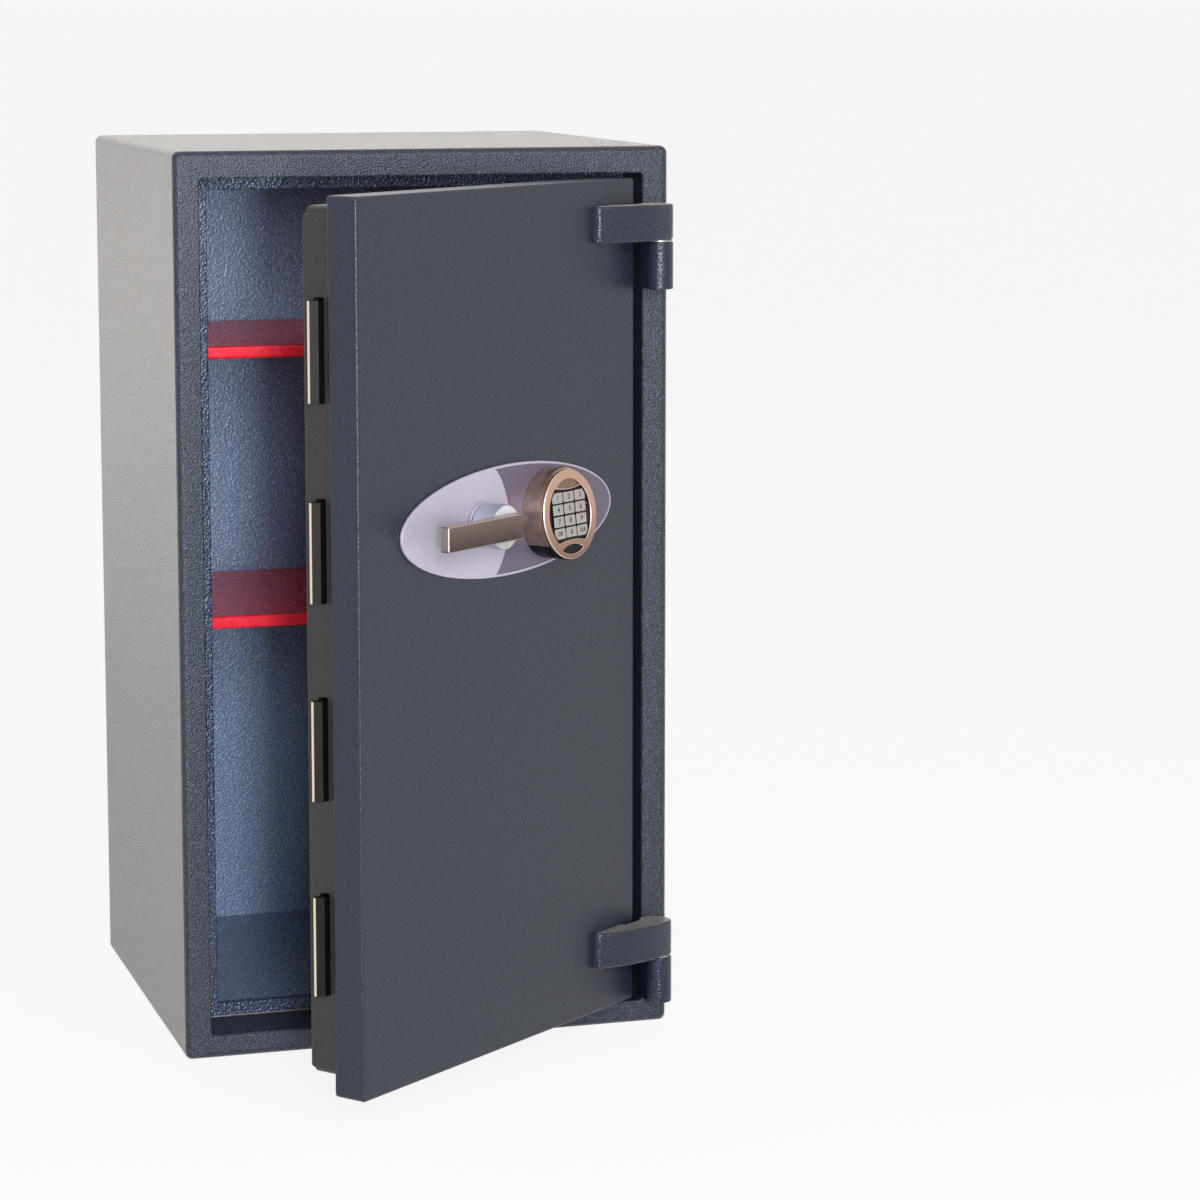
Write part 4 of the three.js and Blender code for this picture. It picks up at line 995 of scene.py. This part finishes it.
champagne = plated("bronze_nickel_plated_zinc", "#977f72", "#dac2b0", roughness=0.38)
outside = segment(housing_radius, battery_chord, above=True)
inside = segment(housing_radius - housing_wall, battery_chord - housing_wall, above=True)
housing = skin("housing", [
    at_depth(outside, housing_high.y),
    at_slope(outside, face_sheet + seat),
    at_slope(inside, face_sheet + seat),
    at_depth(inside, housing_high.y - housing_wall),
])
show(housing, champagne, "door", "champagne_metal", "keypad_housing", place=swing)
below = segment(
    housing_radius - drawer_inset, battery_chord + drawer_gap, above=False, steps=24,
)
drawer = skin("drawer", [
    at_depth(below, housing_high.y),
    at_slope(below, face_sheet + 2 * seat),
])
drawer_floor = handle.z - housing_radius
grip_outline = rounded(
    keypad_x - grip_half_width, drawer_floor - grip_deep,
    keypad_x + grip_half_width, drawer_floor + grip_deep, grip_deep / 2,
)
grip_back = housing_high.y - grip_from_plate
cut(drawer, plate("grip", grip_outline, grip_back - grip_width, grip_back))
show(drawer, black_abs, "battery_drawer", "black_plastic", "battery_drawer", place=swing)

# Keypad face
# A spun ring of the same plated metal, with circular brushing. The window for the keys is cut in
# it, with a dish for the thumb above and a small black lens below. The ring is painted darker in
# the dish and low down, a painted shade, and pale on its rims, a painted highlight.
window_radius = 33.5 * mm
window_half = 26 * mm
window_dip = 2.2 * mm
face_edge = 1.1 * mm
lens_half_width = 17 * mm
lens_middle = -33 * mm
lens_half_height = 4.6 * mm
lens_edge = 0.7 * mm
lens_sunk = 1 * mm
recess_from_window = 1 * mm
recess_rise = 34 * mm
recess_half_width = 19 * mm
recess_deep = 1.2 * mm
face_radius = (ring_high.x - ring_low.x) / 2
groove_width = 0.9 * mm  # the real grooves are finer


def window(shrink):
    """The window's outline: two sides of a circle, and a top and bottom that bulge in."""
    radius = window_radius - shrink
    high = window_half - shrink
    corner = math.asin(high / radius)
    half = radius * math.cos(corner)
    bow = (half**2 + window_dip**2) / (2 * window_dip)
    spread = math.asin(half / bow) / (math.tau / 4)
    corner /= math.tau / 4
    return [
        *arc(0, 0, radius, -corner, corner, steps=20),
        *arc(0, high - window_dip + bow, bow, 3 + spread, 3 - spread, steps=16)[1:-1],
        *arc(0, 0, radius, 2 - corner, 2 + corner, steps=20),
        *arc(0, window_dip - high - bow, bow, 1 + spread, 1 - spread, steps=16)[1:-1],
    ]


def lens(half_width, half_height, z):
    """The outline between two equal arcs."""
    bow = (half_width**2 + half_height**2) / (2 * half_height)
    spread = math.asin(half_width / bow) / (math.tau / 4)
    return [
        *arc(0, z + half_height - bow, bow, 1 - spread, 1 + spread, steps=24)[:-1],
        *arc(0, z - half_height + bow, bow, 3 - spread, 3 + spread, steps=24)[:-1],
    ]


def spun():
    """Spun metal: grooves in circles round the middle, painted shade in the dish and low down."""
    material, tree, place = new_material("spun_bronze_nickel")
    parts = add(tree, "ShaderNodeSeparateXYZ", {"Vector": place})
    in_face = add(tree, "ShaderNodeCombineXYZ", {"X": parts.outputs["X"], "Z": parts.outputs["Z"]})
    radius = add(tree, "ShaderNodeVectorMath", {0: in_face.outputs[0]}, operation="LENGTH")
    groove = add(
        tree, "ShaderNodeTexNoise",
        {"W": radius.outputs["Value"], "Scale": 1 / groove_width, "Detail": 2.0},
        noise_dimensions="1D",
    ).outputs["Fac"]
    # Painted shade: the lower part of the face is drawn darker.
    painted_low_shade = add(
        tree, "ShaderNodeMapRange",
        {"Value": parts.outputs["Z"], "From Min": 0.2 * face_radius, "From Max": -face_radius},
    ).outputs[0]
    # Painted shade: the thumb's dish is drawn darker.
    deep = add(
        tree, "ShaderNodeMapRange",
        {"Value": parts.outputs["Y"], "From Min": 0.6 * recess_deep, "From Max": recess_deep},
    ).outputs[0]
    upper = add(
        tree, "ShaderNodeMix", {0: groove, 6: linear("#b6927c"), 7: linear("#deb9a3")},
        data_type="RGBA",
    )
    lower = add(
        tree, "ShaderNodeMix", {0: groove, 6: linear("#7d5f54"), 7: linear("#a48073")},
        data_type="RGBA",
    )
    flat = add(
        tree, "ShaderNodeMix", {0: painted_low_shade, 6: upper.outputs[2], 7: lower.outputs[2]},
        data_type="RGBA",
    )
    painted_dish_shade = add(
        tree, "ShaderNodeMix", {0: deep, 6: flat.outputs[2], 7: linear("#8d7464")},
        data_type="RGBA",
    )
    ahead = facing(tree, "Y")
    aside = add(tree, "ShaderNodeMath", {0: 1.0, 1: ahead}, operation="SUBTRACT")
    rims = add(tree, "ShaderNodeMath", {0: ahead, 1: aside.outputs[0]}, operation="MULTIPLY")
    # Painted highlight: the rims are drawn pale.
    painted_rim_highlight = add(
        tree, "ShaderNodeMath", {0: rims.outputs[0], 1: 4.0}, operation="MULTIPLY", use_clamp=True,
    )
    colour = add(
        tree, "ShaderNodeMix", {0: painted_rim_highlight.outputs[0], 6: painted_dish_shade.outputs[2], 7: linear("#f4e2da")},
        data_type="RGBA",
    )
    bump = add(tree, "ShaderNodeBump", {"Height": groove, "Distance": 0.03 * mm})
    gloss = add(tree, "ShaderNodeMapRange", {"Value": groove, "To Min": 0.24, "To Max": 0.4})
    close(tree, {
        "Base Color": colour.outputs[2], "Roughness": gloss.outputs[0], "Normal": bump.outputs[0],
        "Metallic": 1.0,
    })
    return material


spun_ring = spun()
face = plate(
    "face_ring", circle(0, 0, face_radius, count=128), 0, face_sheet, edge=face_edge,
    holes=[window(0), lens(lens_half_width, lens_half_height, lens_middle)], hole_edge=lens_edge,
)
dish_foot = window_half + recess_from_window
dish_rise = recess_rise - dish_foot
dish_bow = (recess_half_width**2 + dish_rise**2) / (2 * dish_rise)
dish_spread = math.asin(recess_half_width / dish_bow) / (math.tau / 4)
shares = [step / corner_steps - 1 for step in range(1, 2 * corner_steps)]
outline = [
    *arc(0, recess_rise - dish_bow, dish_bow, 1 - dish_spread, 1 + dish_spread, steps=32),
    *[(recess_half_width * share, dish_foot - window_dip * (1 - share**2)) for share in shares],
]
cut(face, plate("dish", outline, -clear, recess_deep))
show(face, spun_ring, "door", "champagne_metal", "keypad_face", place=face_place)
dress("keypad_mat", black_abs)
small_lens = plate(
    "small_lens", lens(lens_half_width - seat, lens_half_height - seat, lens_middle),
    lens_sunk, face_sheet, edge=lens_edge,
)
show(small_lens, black_abs, "door", "black_plastic", "keypad_lens", place=face_place)

# Keys
# Twelve caps of grey moulded plastic, cut to the window's shape at its corners, each printed with
# its figure in black.
key_width = 15.6 * mm
key_height = 9.8 * mm
key_pitch = (18 * mm, 11.3 * mm)
key_rise = 0.3 * mm
key_cap = 1.3 * mm
key_corner = 1.2 * mm
key_edge = 0.5 * mm
key_gap = 2.4 * mm
figure_height = 6.8 * mm
word_height = 5.2 * mm
stroke = 0.15 * mm
ink = 0.02 * mm
key_plastic = moulded(
    "moulded_grey_plastic", "#8f8781", "#a1978f", roughness=0.4, relief=0.02 * mm,
)
print_black = moulded(
    "printed_black_ink", "#0b0908", "#141110", roughness=0.5, relief=0.01 * mm, shine=0.2,
)
names = ["1", "2", "3", "4", "5", "6", "7", "8", "9", "left", "0", "right"]
prints = {"left": "OK", "right": "CLR"}
for place_number, name in enumerate(names):
    row, column = divmod(place_number, 3)
    x = (column - 1) * key_pitch[0]
    z = (1.5 - row) * key_pitch[1]
    outline = rounded(
        x - key_width / 2, z - key_height / 2, x + key_width / 2, z + key_height / 2, key_corner,
    )
    cap = plate(f"cap_{name}", outline, key_rise, key_rise + key_cap)
    trim = plate("trim", window(key_gap), key_rise - key_cap, face_sheet)
    cut(cap, trim, keep="INTERSECT")
    ease(cap, key_edge, segments=3)
    show(cap, key_plastic, f"key_{name}", "key_plastic", f"key_{name}", place=face_place)
    text = bpy.data.curves.new(f"figure_{name}", "FONT")
    text.body = prints.get(name, name)
    text.size = word_height if name in prints else figure_height
    text.align_x = "CENTER"
    text.align_y = "CENTER"
    text.extrude = ink
    text.offset = stroke
    lettered = new_object(f"lettered_{name}", text)
    shown = lettered.evaluated_get(bpy.context.evaluated_depsgraph_get())
    figure = new_object(f"figure_{name}", bpy.data.meshes.new_from_object(shown))
    bpy.data.objects.remove(lettered)
    stand = Matrix.Translation((x, key_rise - ink / 2, z)) @ Matrix.Rotation(math.tau / 4, 4, "X")
    show(figure, print_black, f"key_{name}", "black_plastic", place=face_place @ stand)

# Indicator lamps
# Two domed lenses, moulded of coloured acrylic and pressed into the black mat, green on the left
# and red on the right.
lamp_radius = 1 * mm
lamp_foot = 1 * mm
lamp_steps = 24
dome_steps = 6
mat_front = 2.4 * mm
indicators = {
    "green": (-30 * mm, 7.7 * mm, "#157a2c", "#2ba046"),
    "red": (30 * mm, 7.5 * mm, "#a01a14", "#c62a20"),
}
for hue, (x, z, dark, light) in indicators.items():
    rings = [at_depth(circle(x, z, lamp_radius, lamp_steps), mat_front + lamp_foot)]
    for turn in [math.tau / 4 * step / dome_steps for step in range(dome_steps)]:
        outline = circle(x, z, lamp_radius * math.cos(turn), lamp_steps)
        rings.append(at_depth(outline, mat_front - lamp_radius * math.sin(turn)))
    acrylic = moulded(f"{hue}_lamp_lens", dark, light, roughness=0.16, relief=0.01 * mm)
    show(skin(f"lamp_{hue}", rings), acrylic, "door", "black_plastic", place=face_place)

# Studio
# A plain pale floor, soft lamps in front, behind and to the left, and the photograph's camera. What
# the camera and the reflections see of the floor and sky is white, apart from the shadow.
floor_half = 1500.0  # metres, so that its edge lies on the horizon
floor_corner = 1.0
floor_white = 0.88  # share of plain white in what is seen of the floor


def seen_rays(tree):
    """1 for the rays of the camera, of reflections and through glass, 0 for all others."""
    path = add(tree, "ShaderNodeLightPath", {})
    direct = add(
        tree, "ShaderNodeMath",
        {0: path.outputs["Is Camera Ray"], 1: path.outputs["Is Glossy Ray"]}, operation="MAXIMUM",
    )
    seen = add(
        tree, "ShaderNodeMath",
        {0: direct.outputs[0], 1: path.outputs["Is Transmission Ray"]}, operation="MAXIMUM",
    )
    return seen.outputs[0]


mesh = bmesh.new()
outline = rounded(-floor_half, -floor_half, floor_half, floor_half, floor_corner)
mesh.faces.new([mesh.verts.new((x, y, 0)) for x, y in outline])
floor = built("floor", mesh)
floor_material = bpy.data.materials.new("white_floor")
floor_material.use_nodes = True
tree = floor_material.node_tree
tree.nodes.clear()
share = add(tree, "ShaderNodeMath", {0: seen_rays(tree), 1: floor_white}, operation="MULTIPLY")
matt = add(tree, "ShaderNodeBsdfDiffuse", {"Color": (0.85, 0.85, 0.85, 1)})
white = add(tree, "ShaderNodeEmission", {"Strength": 1.0})
mixed = add(
    tree, "ShaderNodeMixShader", {0: share.outputs[0], 1: matt.outputs[0], 2: white.outputs[0]},
)
add(tree, "ShaderNodeOutputMaterial", {"Surface": mixed.outputs[0]})
floor.data.materials.append(floor_material)

world = bpy.data.worlds.new("studio")
bpy.context.scene.world = world
world.use_nodes = True
tree = world.node_tree
tree.nodes.clear()
strength = add(
    tree, "ShaderNodeMapRange", {"Value": seen_rays(tree), "To Min": 0.35, "To Max": 0.92},
)
sky = add(tree, "ShaderNodeBackground", {"Color": (1, 1, 1, 1), "Strength": strength.outputs[0]})
add(tree, "ShaderNodeOutputWorld", {"Surface": sky.outputs[0]})

# Each lamp's place, the point it is aimed at, its size, its power and its tint.
lamps = {
    "camera_lamp": ((-0.6, -4.0, 1.6), (0, 0, 0.45), (0.8, 1.8), 116, (0.86, 0.92, 1)),
    "front_lamp": ((1.6, -5.0, 3.2), (0, 0, 0.45), (2.0, 2.0), 70, (1, 1, 1)),
    "strip_lamp": ((-0.62, -4.0, 0.5), (0, 0, 0.45), (0.25, 0.9), 55, (0.8, 0.88, 1)),
    "background_lamp": ((-1.5, 5.0, 3.1), (-1.5, 0, 3.1), (10.0, 4.0), 70, (1, 1, 1)),
    "side_lamp": ((-2.2, 3.4, 0.45), (-0.2, 0, 0.4), (2.4, 0.86), 14, (1, 0.95, 0.9)),
}
for name, (position, target, size, power, tint) in lamps.items():
    light = bpy.data.lights.new(name, "AREA")
    light.shape = "RECTANGLE"
    light.size, light.size_y = size
    light.energy = power
    light.color = tint
    lamp = new_object(name, light)
    lamp.location = position
    lamp.visible_camera = False
    lamp.rotation_euler = (Vector(target) - Vector(position)).to_track_quat("-Z", "Y").to_euler()

camera_place = Vector((-0.8683, -3.6124, 1.0165))
camera_yaw = math.radians(17.117)
camera_pitch = math.radians(7.766)
image_width = 1200
focal_pixels = 3632.5
camera_data = bpy.data.cameras.new("camera")
camera_data.sensor_width = 36
camera_data.lens = focal_pixels / image_width * camera_data.sensor_width
camera_data.shift_y = -0.0833
camera = new_object("camera", camera_data)
camera.location = camera_place
camera.rotation_euler = (math.tau / 4 - camera_pitch, 0, -camera_yaw)
bpy.context.scene.camera = camera
bpy.context.scene.view_settings.view_transform = "Standard"
